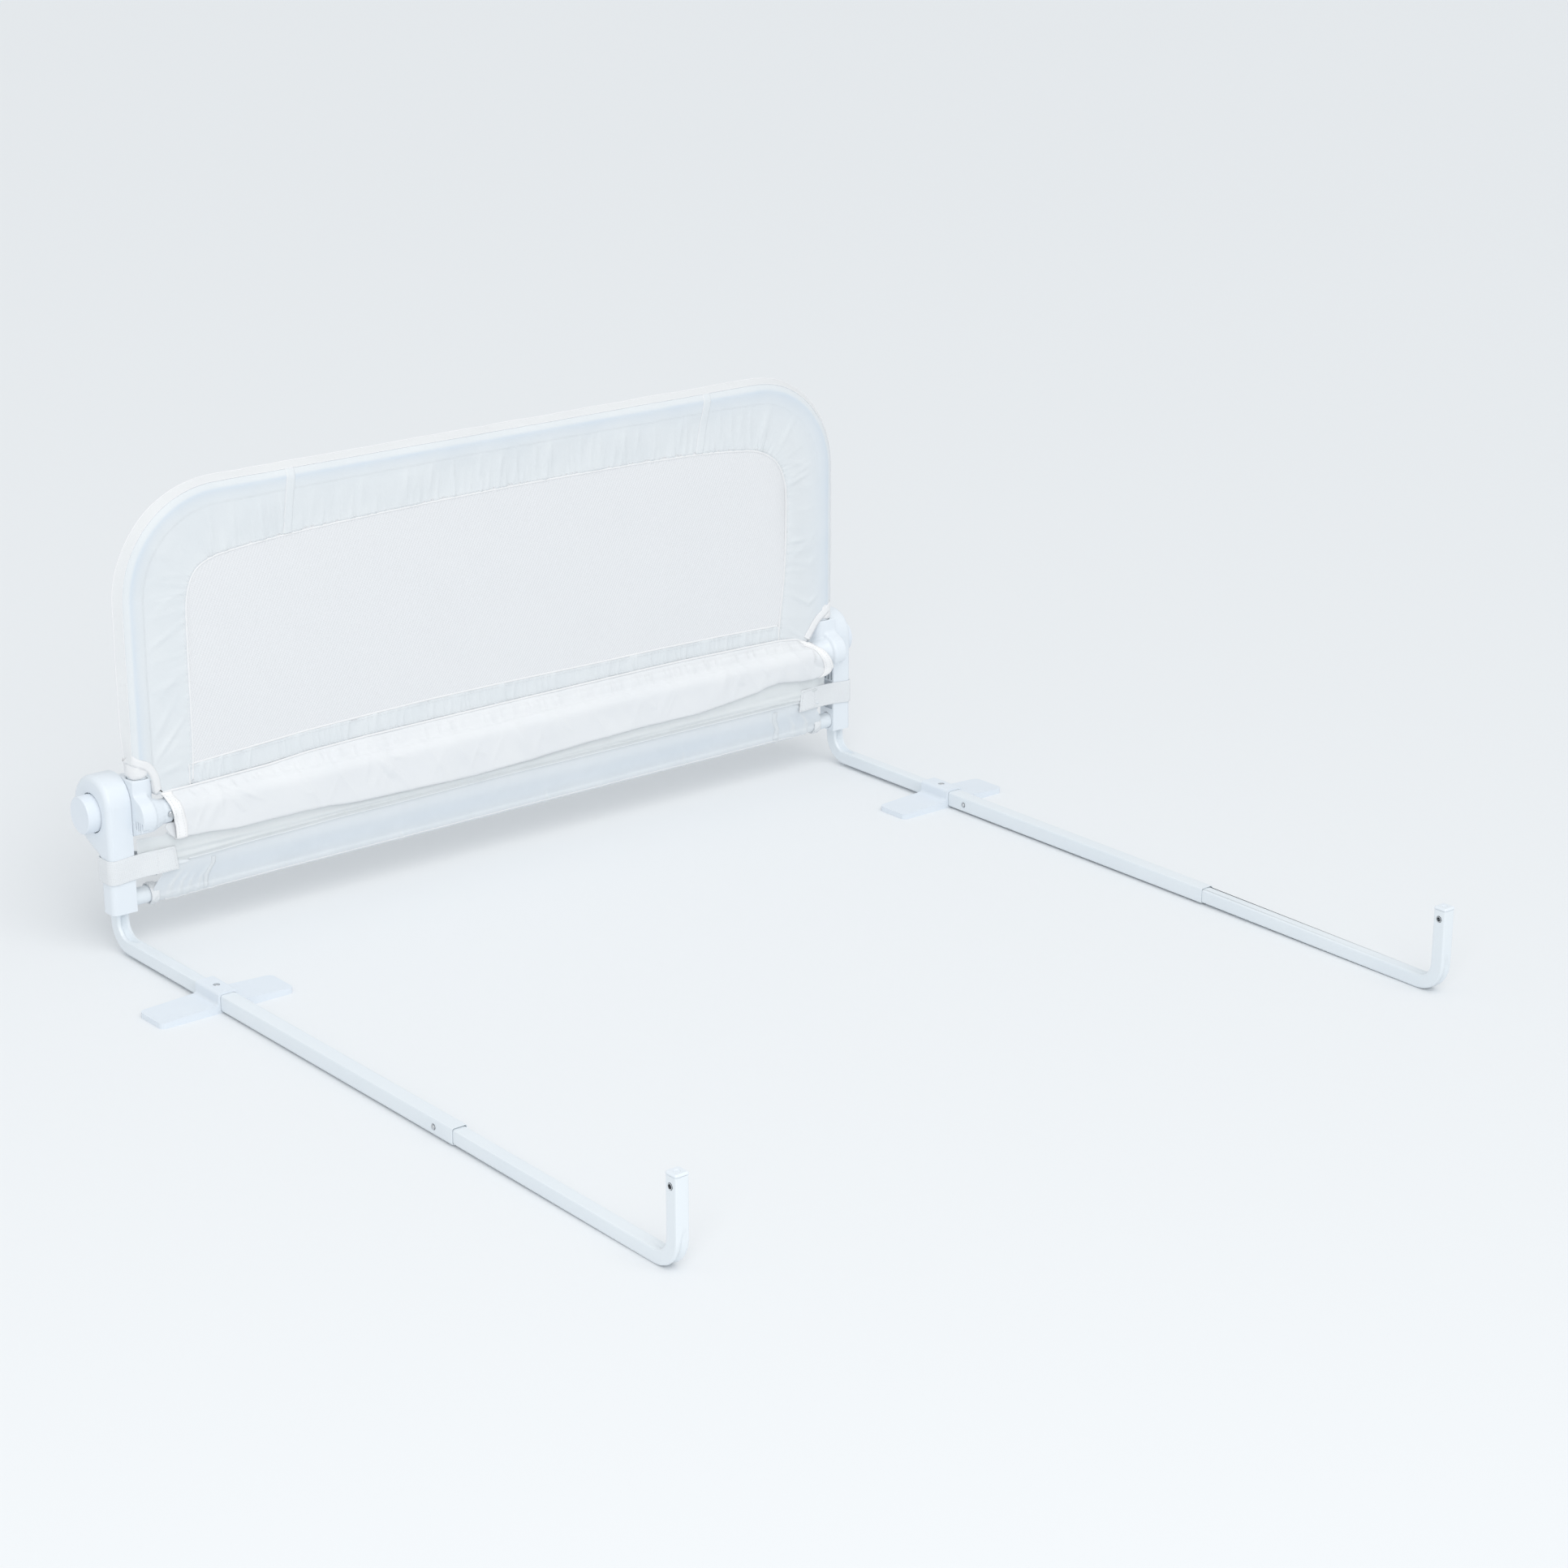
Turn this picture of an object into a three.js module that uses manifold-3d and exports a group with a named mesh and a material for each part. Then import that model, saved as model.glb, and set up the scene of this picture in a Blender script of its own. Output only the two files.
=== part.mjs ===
// Folding bed guard rail. Two moulded posts hold a padded guard that swings down on push-button
// hubs, and two square arms with feet and hooked ends reach in under the mattress.
// Millimetres. X runs along the rail, Y points away from the mattress, Z is up from the floor.
import * as THREE from 'three';
import { mergeVertices } from 'three/addons/utils/BufferGeometryUtils.js';
import Module from 'manifold-3d';

const wasm = await Module();
wasm.setup();

// Overall sizes
const railLength = 1078;
const guardHeight = 525;
const armReach = 1017.5;

// Clearances that every seat and cut uses
const seatGap = 0.3;
const runningGap = 0.5;
const overrun = 5;
const weldDistance = 0.0001;

// Posts
const postWidth = 30;
const postDepth = 26;
const postBottom = 46.5;
const postWall = 2.5;
const postEdgeRound = 7;
const headRadius = 42.8;
const headFrontRound = 32;
const taperAngle = -68;
const taperRound = 6;

// Hub: pivot, button opening, lock splines and the hollow that the knuckle turns in
const pivotBack = 36.8;
const pivotHeight = 160;
const buttonOpeningRadius = 23.4;
const buttonLip = 4;
const splineRootRadius = 27.4;
const splineTipRadius = 25.2;
const splineTeeth = 8;
const webThickness = 4;
const hubSeatRadius = 33.2;
const hubSeatDepth = 4;
const boltRadius = 4;

// Ribbed hollow on the inner side of a post, over the arm's socket and its screw
const armSocketDrop = 49;
const ribHollowHeight = 17.2;
const ribHollowDepth = 22;
const ribThickness = 1.4;
const ribCount = 3;
const shelfThickness = 1.8;
const screwHollowHeight = 37;
const screwHollowDepth = 4;
const postScrewDrop = 11;

// Push buttons
const buttonRadius = 22.1;
const buttonProud = 15.5;
const buttonWall = 2;
const buttonEdgeRound = 2.5;
const buttonCupLength = 22.3;
const buttonFlange = 2.5;

// Springs behind the buttons
const springRadius = 10;
const springWire = 1.6;
const springTurns = 4.5;

// Pivot bolts and nuts
const boltHeadRadius = 7;
const boltHeadHeight = 3.5;
const nutRadius = 7.5;
const nutHeight = 5;

// Arm tubes
const armSize = 16.4;
const armWall = 1.4;
const armCornerRound = 2.8;
const armLift = 3;
const armBack = 14.5;
const armBendRadius = 26;
const armTubeEnd = 300;
const grooveDepth = 4.6;
const grooveHalfWidth = 4.2;
const creaseDepth = 1.8;
const grooveFade = 14;

// Sleeve that joins an arm tube to its hook tube
const sleeveSize = 19;
const sleeveWall = 1;
const sleeveCornerRound = 3;
const sleeveEnd = 657.7;

// Hook tubes
const hookTop = 101.6;
const hookOverlap = 85;
const hookHoleDrop = 13.5;
const hookHoleRadius = 3.3;
const bushWall = 0.9;
const capThickness = 3;
const capOverhang = 0.3;
const capStemLength = 6;
const capDimpleDepth = 0.8;

// Feet
const footWidth = 165;
const footDepth = 48;
const footFront = 218;
const footTipThickness = 6.5;
const footRootThickness = 9.5;
const footCornerRound = 6.5;
const saddleWall = 2.5;
const saddleRound = 3.5;
const sleevePocket = 6;

// Screws
const screwHeadRadius = 3.6;
const screwHeadHeight = 2.2;
const screwShankRadius = 1.8;

// Spring pins that lock the arm pieces together
const pinRadius = 3;
const pinProud = 2.2;
const pinFlangeRadius = 4.6;
const pinFlange = 1.2;
const pinHoleGap = 0.25;
const nearPinReach = 246;
const farPinBack = 32;
const leafThickness = 0.8;
const leafWidth = 8;
const leafLength = 34;

// Guard frame: bent tube, middle tube and lower tube
const legInset = 45.5;
const legRise = 15;
const guardTubeRadius = 12;
const guardTubeWall = 1;
const guardTubeBack = 10;
const guardBendRadius = 112;
const middleTubeFront = 3;
const middleTubeDrop = 2;
const middleTubeWall = 1;
const lowerTubeRadius = 10;
const lowerTubeWall = 1;
const lowerTubeBack = 13;
const lowerTubeRise = 12.5;
const lowerTubeSeat = 5.2;

// Knuckles: inner hub halves that the guard frame plugs into
const knuckleThickness = 19;
const knuckleRound = 4.5;
const knuckleHubRadius = 36;
const knuckleLobeRadius = 20.5;
const knuckleLobeForward = 3.5;
const knuckleLobeRise = 2;
const knuckleBrow = 130;
const knuckleCollarWall = 2.4;
const knuckleCollarRise = 42;
const knuckleNeckRise = 29;
const bossLength = 43;
const bossRootRadius = 20;
const bossTaper = 14;
const knuckleSlotDepth = 8;
const knuckleSlotWidth = 2.4;
const knuckleSlotHeight = 11;
const knuckleSlots = 4;
const knuckleScrewInset = 39;

// Sewn cover over the guard frame
const clothGap = 0.5;
const clothThickness = 1.8;
const borderWidth = 74;
const borderThickness = 3;
const borderForward = 8;
const bulgeTaper = 20;
const cornerOpeningWidth = 34;
const cornerOpeningHeight = 41;
const coverRise = 22.5;

// Mesh window
const windowRise = 27;
const windowThickness = 1.6;
const meshColumns = 17;
const meshRows = 3;
const strandWidth = 7;

// Wrap round the middle tube
const wrapLipDrop = 35;
const wrapLipForward = 15;
const wrapEndSlant = 16;

// Skirt below the wrap, its end bands and the hook-and-loop straps
const skirtInset = 30;
const skirtSheet = 1.6;
const skirtTuck = 16.5;
const skirtTopForward = 11;
const skirtDrawIn = 5;
const seamHeightShare = 0.656;
const seamForward = 7;
const seamProud = 1.3;
const foldDepth = 3;
const foldCount = 10;
const gatherReach = 110;
const bandWidth = 10;
const bandThickness = 2.6;
const strapBottomShare = 0.317;
const strapWidthShare = 0.25;
const strapThickness = 2;
const strapInset = 48;
const strapBackForward = 1;
const strapFrontForward = 10;

// Facet counts
const roundSides = 20;
const tubeSides = 12;
const smallSides = 8;
const bendSteps = 6;

// Places worked out from the sizes above
const postOuter = railLength / 2;
const postInner = postOuter - postWidth;
const postMiddle = postOuter - postWidth / 2;
const headTop = pivotHeight + headRadius;
const armSocketTop = pivotHeight - armSocketDrop;
const postScrewHeight = armSocketTop - postScrewDrop;
const ribHollowBottom = armSocketTop + 2 * shelfThickness;
const screwHollowTop = ribHollowBottom - shelfThickness;
const armHeight = armLift + armSize / 2;
const hookBack = armSize / 2 - armReach;
const legCentre = postOuter - legInset;
const guardTubeTop = guardHeight - clothThickness - clothGap - guardTubeRadius;
const middleTubeHeight = pivotHeight - middleTubeDrop;
const lowerTubeHeight = postBottom + lowerTubeRise;
const legBottom = middleTubeHeight + legRise;
const knuckleCollarTop = middleTubeHeight + knuckleCollarRise;
const coverBottom = middleTubeHeight + coverRise;
const windowBottom = coverBottom + windowRise;
const wrapLip = middleTubeHeight - wrapLipDrop;
const skirtTop = wrapLip + skirtTuck;
const seamHeight = lowerTubeHeight + seamHeightShare * (wrapLip - lowerTubeHeight);
const strapBottom = postBottom + strapBottomShare * (pivotHeight - postBottom);
const strapTop = strapBottom + strapWidthShare * (pivotHeight - postBottom);
const skirtHalfLength = postInner - skirtInset;
const strapFrontEnd = postInner - strapInset;
const strapBackEnd = skirtHalfLength + strapThickness;
const sleeveStart = footFront - sleevePocket + seatGap;
const boltHeadSeat = postInner + hubSeatDepth + webThickness;
const buttonFace = postOuter + buttonProud;
const knuckleOuter = postInner - runningGap;
const knuckleInner = knuckleOuter - knuckleThickness;
const bossEnd = knuckleOuter - bossLength;
const wrapHalfLength = bossEnd - clothGap;
const footBack = footFront - footDepth;
const footMiddle = footFront - footDepth / 2;
const pinHoleRadius = boreRound(pinRadius, pinHoleGap, smallSides);
const hubBack = pivotBack + headRadius;

const degrees = THREE.MathUtils.degToRad;
const point = (x, y) => new THREE.Vector2(x, y);

// Points along an arc, both ends included, angles in degrees
function arc(x, y, radius, from, to, steps) {
  return Array.from({ length: steps + 1 }, (_, step) => {
    const angle = degrees(from + ((to - from) * step) / steps);
    return point(x + radius * Math.cos(angle), y + radius * Math.sin(angle));
  });
}

function circle(radius, sides) {
  return arc(0, 0, radius, 0, 360, sides).slice(0, sides);
}

// Corner radius of a faceted bore whose flats stay a gap away from a round piece
function boreRound(radius, gap, sides) {
  return (radius + gap) / Math.cos(Math.PI / sides);
}

// Rectangle about the origin with round corners
function roundRectangle(width, height, radius, steps) {
  const x = width / 2 - radius;
  const y = height / 2 - radius;
  return [
    ...arc(x, y, radius, 0, 90, steps),
    ...arc(-x, y, radius, 90, 180, steps),
    ...arc(-x, -y, radius, 180, 270, steps),
    ...arc(x, -y, radius, 270, 360, steps),
  ];
}

function rodAlongX(radius, from, to, back, height, sides) {
  const rod = new THREE.CylinderGeometry(radius, radius, to - from, sides);
  rod.rotateZ(-Math.PI / 2);
  return rod.translate((from + to) / 2, back, height);
}

function rodAlongZ(radius, x, back, from, to, sides) {
  const rod = new THREE.CylinderGeometry(radius, radius, to - from, sides);
  rod.rotateX(Math.PI / 2);
  return rod.translate(x, back, (from + to) / 2);
}

function rodAlongY(radius, x, height, from, to, sides) {
  const rod = new THREE.CylinderGeometry(radius, radius, to - from, sides);
  return rod.translate(x, (from + to) / 2, height);
}

function block(low, high) {
  const box = new THREE.BoxGeometry(high[0] - low[0], high[1] - low[1], high[2] - low[2]);
  return box.translate((low[0] + high[0]) / 2, (low[1] + high[1]) / 2, (low[2] + high[2]) / 2);
}

// Extrudes an outline drawn in Y and Z along X, with an optional round on both ends
function extrudeAlongX(outline, from, to, round = 0, roundFacets = 3, hole = null) {
  const shape = new THREE.Shape(outline);
  if (hole) shape.holes.push(new THREE.Path(hole));
  const geometry = new THREE.ExtrudeGeometry(shape, {
    depth: to - from - 2 * round,
    bevelEnabled: round > 0,
    bevelThickness: round,
    bevelSize: round,
    bevelOffset: -round,
    bevelSegments: roundFacets,
  });
  const turn = new THREE.Matrix4().makeBasis(
    new THREE.Vector3(0, 1, 0), new THREE.Vector3(0, 0, 1), new THREE.Vector3(1, 0, 0));
  return geometry.applyMatrix4(turn).translate(from + round, 0, 0);
}

// Extrudes an outline drawn in X and Z along Y
function extrudeAlongY(outline, from, to, hole = null) {
  const shape = new THREE.Shape(outline);
  if (hole) shape.holes.push(new THREE.Path(hole));
  const geometry = new THREE.ExtrudeGeometry(shape, { depth: to - from, bevelEnabled: false });
  const turn = new THREE.Matrix4().makeBasis(
    new THREE.Vector3(1, 0, 0), new THREE.Vector3(0, 0, 1), new THREE.Vector3(0, -1, 0));
  return geometry.applyMatrix4(turn).translate(0, to, 0);
}

// Extrudes an outline drawn in X and Y along Z
function extrudeAlongZ(outline, from, to) {
  const shape = new THREE.Shape(outline);
  const geometry = new THREE.ExtrudeGeometry(shape, { depth: to - from, bevelEnabled: false });
  return geometry.translate(0, 0, from);
}

// Turns a profile of [distance along X, radius] round a line that runs along X
function turnAlongX(profile, back, height, sides) {
  const points = profile.map(([along, radius]) => point(radius, along));
  const geometry = new THREE.LatheGeometry(points, sides);
  geometry.rotateZ(-Math.PI / 2);
  return geometry.translate(0, back, height);
}

function bare(geometry) {
  const copy = geometry.clone();
  copy.deleteAttribute('normal');
  copy.deleteAttribute('uv');
  return mergeVertices(copy, weldDistance);
}

// Turns every triangle over when the skin encloses less than nothing
function facingOut(geometry) {
  const place = geometry.attributes.position;
  const index = geometry.index.array;
  const [a, b, c] = [new THREE.Vector3(), new THREE.Vector3(), new THREE.Vector3()];
  let volume = 0;
  for (let i = 0; i < index.length; i += 3) {
    a.fromBufferAttribute(place, index[i]);
    b.fromBufferAttribute(place, index[i + 1]);
    c.fromBufferAttribute(place, index[i + 2]);
    volume += a.dot(b.cross(c));
  }
  if (volume < 0) {
    for (let i = 0; i < index.length; i += 3) {
      [index[i + 1], index[i + 2]] = [index[i + 2], index[i + 1]];
    }
  }
  return geometry;
}

function solid(geometry) {
  const closed = facingOut(bare(geometry));
  return new wasm.Manifold(new wasm.Mesh({
    numProp: 3,
    vertProperties: Float32Array.from(closed.attributes.position.array),
    triVerts: Uint32Array.from(closed.index.array),
  }));
}

function cut(base, cutters) {
  return cutters.reduce((rest, cutter) => rest.subtract(solid(cutter)), base);
}

function join(pieces) {
  return pieces.slice(1).reduce((whole, piece) => whole.add(solid(piece)), solid(pieces[0]));
}

function toGeometry(manifold) {
  const mesh = manifold.getMesh();
  const geometry = new THREE.BufferGeometry();
  geometry.setAttribute('position', new THREE.BufferAttribute(mesh.vertProperties, 3));
  geometry.setIndex(new THREE.BufferAttribute(mesh.triVerts, 1));
  return geometry;
}

// Joins rings of points into one closed skin. A second set of rings makes it a wall with a bore.
function loft(rings, bore = null) {
  const layers = bore ? [...rings, ...[...bore].reverse()] : rings;
  const count = rings[0].length;
  const positions = layers.flat().flatMap((p) => [p.x, p.y, p.z]);
  const index = [];
  const bands = bore ? layers.length : layers.length - 1;
  for (let band = 0; band < bands; band += 1) {
    const here = band * count;
    const next = ((band + 1) % layers.length) * count;
    for (let side = 0; side < count; side += 1) {
      const turn = (side + 1) % count;
      index.push(here + side, here + turn, next + turn, here + side, next + turn, next + side);
    }
  }
  if (!bore) {
    for (const [ring, flip] of [[0, true], [layers.length - 1, false]]) {
      const centre = layers[ring].reduce((sum, p) => sum.add(p), new THREE.Vector3());
      centre.divideScalar(count);
      const middle = positions.length / 3;
      positions.push(centre.x, centre.y, centre.z);
      for (let side = 0; side < count; side += 1) {
        const pair = [ring * count + side, ring * count + ((side + 1) % count)];
        index.push(...(flip ? pair.reverse() : pair), middle);
      }
    }
  }
  const geometry = new THREE.BufferGeometry();
  geometry.setAttribute('position', new THREE.Float32BufferAttribute(positions, 3));
  geometry.setIndex(index);
  return geometry;
}

// A path with its steps only where it bends: straight, arc, straight
class BentPath extends THREE.Curve {
  constructor(points, tangents) {
    super();
    this.points = points;
    this.tangents = tangents;
  }

  getPoint(share, target = new THREE.Vector3()) {
    const place = share * (this.points.length - 1);
    const step = Math.min(Math.floor(place), this.points.length - 2);
    return target.copy(this.points[step]).lerp(this.points[step + 1], place - step);
  }

  getTangent(share, target = new THREE.Vector3()) {
    return target.copy(this.tangents[Math.round(share * (this.points.length - 1))]);
  }

  getUtoTmapping(share) {
    return share;
  }
}

function sweep(outline, path, hole = null) {
  const shape = new THREE.Shape(outline);
  if (hole) shape.holes.push(new THREE.Path(hole));
  return new THREE.ExtrudeGeometry(shape, {
    steps: path.points.length - 1,
    bevelEnabled: false,
    extrudePath: path,
  });
}

// Stations of the upside-down U of the guard: up the left leg, across and down the right leg
function guardPath(bottom) {
  const run = legCentre - guardBendRadius;
  const rise = guardTubeTop - guardBendRadius;
  const places = [
    { x: -legCentre, z: bottom, turn: 90 },
    ...Array.from({ length: bendSteps + 1 }, (_, step) => 90 - (90 * step) / bendSteps)
      .map((turn) => ({
        x: -run - guardBendRadius * Math.sin(degrees(turn)),
        z: rise + guardBendRadius * Math.cos(degrees(turn)),
        turn,
      })),
  ];
  const mirror = [...places].reverse().map(({ x, z, turn }) => ({ x: -x, z, turn: -turn }));
  const all = [...places, ...mirror];
  return new BentPath(
    all.map(({ x, z }) => new THREE.Vector3(x, guardTubeBack, z)),
    all.map(({ turn }) => new THREE.Vector3(Math.cos(degrees(turn)), 0, Math.sin(degrees(turn)))),
  );
}

// Centre of the inside round between the straight back of a post and its tapered shoulder
function shoulderCentre() {
  const lean = point(Math.cos(degrees(taperAngle)), Math.sin(degrees(taperAngle)));
  const back = postDepth + taperRound;
  const reach = point(pivotBack, pivotHeight).dot(lean) + headRadius + taperRound;
  return point(back, (reach - back * lean.x) / lean.y);
}

// Where the back of a post is at a height below its head: straight, then round, then tapered
function postBackAt(height) {
  const shoulder = shoulderCentre();
  const rise = Math.max(height - shoulder.y, 0);
  const roundRise = taperRound * Math.sin(degrees(-taperAngle));
  const onRound = Math.min(rise, roundRise);
  const slope = Math.tan(degrees(-taperAngle));
  return shoulder.x - Math.sqrt(taperRound ** 2 - onRound ** 2) + (rise - onRound) * slope;
}

// Outline of a post in Y and Z: straight front, round head, taper back to the narrow stem
function postOutline(bottom) {
  const shoulder = shoulderCentre();
  return [
    point(postDepth, bottom),
    ...arc(shoulder.x, shoulder.y, taperRound, 180, 180 + taperAngle, 4),
    ...arc(pivotBack, pivotHeight, headRadius, taperAngle, 90, 12),
    ...arc(headFrontRound, headTop - headFrontRound, headFrontRound, 90, 180, 6),
    point(0, bottom),
  ];
}

// Teeth of the lock: a round outline that steps between two radii
function splineOutline(rootRadius, tipRadius) {
  const pitch = 360 / splineTeeth;
  const toothShares = [[0.06, 1], [0.44, 1], [0.56, 0], [0.94, 0]];
  return Array.from({ length: splineTeeth }, (_, tooth) => toothShares.map(([share, outer]) => {
    const angle = degrees((tooth + share) * pitch);
    const radius = outer ? rootRadius : tipRadius;
    return point(radius * Math.cos(angle), radius * Math.sin(angle));
  })).flat();
}

function aroundPivot(outline) {
  return outline.map((p) => point(p.x + pivotBack, p.y + pivotHeight));
}

function post() {
  const round = postEdgeRound;
  const shell = extrudeAlongX(postOutline(postBottom - 2 * round), postInner - round, postOuter, round);
  const bounds = block([postInner, -overrun, postBottom],
    [postOuter + overrun, hubBack + overrun, headTop + overrun]);
  const socketHalf = armSize / 2 + seatGap;
  const pitch = (postDepth - 2 * postWall + ribThickness) / (ribCount + 1);
  const ribPockets = Array.from({ length: ribCount + 1 }, (_, rib) => block(
    [postInner - overrun, postWall + rib * pitch, ribHollowBottom],
    [postInner + ribHollowDepth, postWall + (rib + 1) * pitch - ribThickness,
      ribHollowBottom + ribHollowHeight]));
  return toGeometry(cut(solid(shell).intersect(solid(bounds)), [
    rodAlongX(buttonOpeningRadius, postOuter - buttonLip - overrun / 2, postOuter + overrun,
      pivotBack, pivotHeight, 2 * tubeSides),
    extrudeAlongX(aroundPivot(splineOutline(splineRootRadius, splineTipRadius)), boltHeadSeat,
      postOuter - buttonLip),
    rodAlongX(hubSeatRadius, postInner - overrun, postInner + hubSeatDepth, pivotBack, pivotHeight,
      2 * tubeSides),
    rodAlongX(boreRound(boltRadius, seatGap, roundSides), postInner - overrun, postOuter, pivotBack,
      pivotHeight, roundSides),
    ...ribPockets,
    block([postInner - overrun, postWall, screwHollowTop - screwHollowHeight],
      [postInner + screwHollowDepth, postDepth - postWall, screwHollowTop]),
    block([postMiddle - socketHalf, armBack - socketHalf, postBottom - overrun],
      [postMiddle + socketHalf, armBack + socketHalf, armSocketTop]),
    rodAlongX(boreRound(lowerTubeRadius, seatGap, roundSides), postInner - overrun,
      postInner + lowerTubeSeat + seatGap, lowerTubeBack, lowerTubeHeight, roundSides),
    rodAlongX(boreRound(screwShankRadius, seatGap, smallSides), postInner, postMiddle, armBack,
      postScrewHeight, smallSides),
  ]));
}

// A push button is a cup that slides on the lock splines of its post
function button() {
  const rim = buttonFace - buttonCupLength;
  const cup = turnAlongX([
    [buttonFace, 0],
    [buttonFace, buttonRadius - buttonEdgeRound],
    [buttonFace - buttonEdgeRound / 3, buttonRadius - buttonEdgeRound / 3],
    [buttonFace - buttonEdgeRound, buttonRadius],
    [rim, buttonRadius],
    [rim, buttonRadius - buttonWall],
    [buttonFace - buttonWall, buttonRadius - buttonWall],
    [buttonFace - buttonWall, 0],
  ], pivotBack, pivotHeight, 2 * tubeSides);
  const teeth = extrudeAlongX(
    aroundPivot(splineOutline(splineRootRadius - runningGap, splineTipRadius - runningGap)),
    rim, rim + buttonFlange, 0, 0, aroundPivot(circle(buttonRadius - buttonWall / 2, tubeSides)));
  return toGeometry(join([cup, teeth]));
}

// Coil between the web of the post and the inside of the button
function buttonSpring() {
  const from = boltHeadSeat + seatGap + springWire / 2;
  const to = buttonFace - buttonWall - seatGap - springWire / 2;
  const steps = Math.round(springTurns * 8);
  const rings = Array.from({ length: steps + 1 }, (_, step) => {
    const share = step / steps;
    const angle = 2 * Math.PI * springTurns * share;
    const out = new THREE.Vector3(0, Math.cos(angle), Math.sin(angle));
    const centre = out.clone().multiplyScalar(springRadius);
    centre.add(new THREE.Vector3(from + (to - from) * share, pivotBack, pivotHeight));
    return circle(springWire / 2, 5).map((p) => centre.clone()
      .addScaledVector(out, p.x).add(new THREE.Vector3(p.y, 0, 0)));
  });
  return loft(rings);
}

function pivotBolt() {
  return turnAlongX([
    [boltHeadSeat + seatGap + boltHeadHeight, 0],
    [boltHeadSeat + seatGap + boltHeadHeight, boltHeadRadius - boltHeadHeight / 3],
    [boltHeadSeat + seatGap + boltHeadHeight * 2 / 3, boltHeadRadius],
    [boltHeadSeat + seatGap, boltHeadRadius],
    [boltHeadSeat + seatGap, boltRadius],
    [knuckleInner - nutHeight, boltRadius],
    [knuckleInner - nutHeight, 0],
  ], pivotBack, pivotHeight, 2 * smallSides);
}

function pivotNut() {
  const hexagon = aroundPivot(circle(nutRadius, 6));
  const bore = aroundPivot(circle(boreRound(boltRadius, seatGap, smallSides), smallSides));
  return extrudeAlongX(hexagon, knuckleInner - runningGap - nutHeight, knuckleInner - runningGap,
    0, 0, bore);
}

// Middle of the lobe on the front of a knuckle, in Y and Z
function lobeCentre() {
  return point(-middleTubeFront - knuckleLobeForward, middleTubeHeight + knuckleLobeRise);
}

// Outline of a knuckle in Y and Z: neck under the collar, wavy front, lobe round the middle tube
// and hub disc. The lobe and the hub share a straight tangent underneath.
function knuckleOutline() {
  const lobe = lobeCentre();
  const hub = point(pivotBack, pivotHeight);
  const between = hub.clone().sub(lobe);
  const lean = Math.asin((knuckleHubRadius - knuckleLobeRadius) / between.length());
  const under = THREE.MathUtils.radToDeg(between.angle() - lean) - 90;
  const collar = guardTubeRadius + knuckleCollarWall;
  const front = guardTubeBack - collar;
  const neck = middleTubeHeight + knuckleNeckRise;
  const [meet] = arc(lobe.x, lobe.y, knuckleLobeRadius, knuckleBrow, knuckleBrow, 1);
  const browReach = knuckleLobeRadius / 3;
  const wave = new THREE.CubicBezierCurve(
    point(front, neck),
    point(front, neck - browReach),
    point(meet.x + browReach * Math.sin(degrees(knuckleBrow)),
      meet.y - browReach * Math.cos(degrees(knuckleBrow))),
    meet,
  ).getPoints(6);
  return [
    point(front, knuckleCollarTop),
    ...wave,
    ...arc(lobe.x, lobe.y, knuckleLobeRadius, knuckleBrow, under + 360, 9).slice(1),
    ...arc(hub.x, hub.y, knuckleHubRadius, under, 80, 10),
    point(guardTubeBack + collar, knuckleCollarTop),
  ];
}

function knuckle() {
  const collarRadius = guardTubeRadius + knuckleCollarWall;
  const bossRadius = guardTubeRadius + knuckleCollarWall;
  const rounded = solid(extrudeAlongX(knuckleOutline(), knuckleInner, knuckleOuter + knuckleRound,
    knuckleRound));
  const lobe = lobeCentre();
  const bounds = block([knuckleInner, lobe.x - 2 * knuckleLobeRadius, 0],
    [knuckleOuter, hubBack, guardHeight]);
  const whole = join([
    toGeometry(rounded.intersect(solid(bounds))),
    rodAlongX(hubSeatRadius - runningGap, knuckleInner + knuckleRound,
      postInner + hubSeatDepth - runningGap, pivotBack, pivotHeight, 2 * tubeSides),
    rodAlongZ(collarRadius, legCentre, guardTubeBack, middleTubeHeight, knuckleCollarTop, roundSides),
    turnAlongX([
      [knuckleInner + knuckleRound, 0],
      [knuckleInner + knuckleRound, bossRootRadius],
      [knuckleInner, bossRootRadius],
      [knuckleInner - bossTaper, bossRadius],
      [bossEnd, bossRadius],
      [bossEnd, 0],
    ], -middleTubeFront, middleTubeHeight, roundSides),
  ]);
  const slotPitch = 2 * knuckleSlotWidth;
  const slotFront = lobe.x - knuckleLobeRadius + 2 * knuckleSlotWidth;
  const slotBottom = lobe.y - knuckleLobeRadius + 2 * knuckleSlotWidth;
  const slots = Array.from({ length: knuckleSlots }, (_, slot) => block(
    [knuckleOuter - knuckleSlotDepth, slotFront + slot * slotPitch, slotBottom],
    [knuckleOuter + overrun, slotFront + slot * slotPitch + knuckleSlotWidth,
      slotBottom + knuckleSlotHeight]));
  return toGeometry(cut(whole, [
    rodAlongZ(boreRound(guardTubeRadius, seatGap, roundSides), legCentre, guardTubeBack,
      legBottom - seatGap, knuckleCollarTop + overrun, roundSides),
    rodAlongX(boreRound(guardTubeRadius, seatGap, roundSides), bossEnd - overrun, knuckleInner,
      -middleTubeFront, middleTubeHeight, roundSides),
    rodAlongX(boreRound(boltRadius, seatGap, roundSides), bossEnd, postOuter, pivotBack, pivotHeight,
      roundSides),
    rodAlongY(boreRound(screwShankRadius, seatGap, smallSides), postInner - knuckleScrewInset,
      middleTubeHeight, -middleTubeFront - bossRadius - overrun, -middleTubeFront, smallSides),
    ...slots,
  ]));
}

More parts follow.
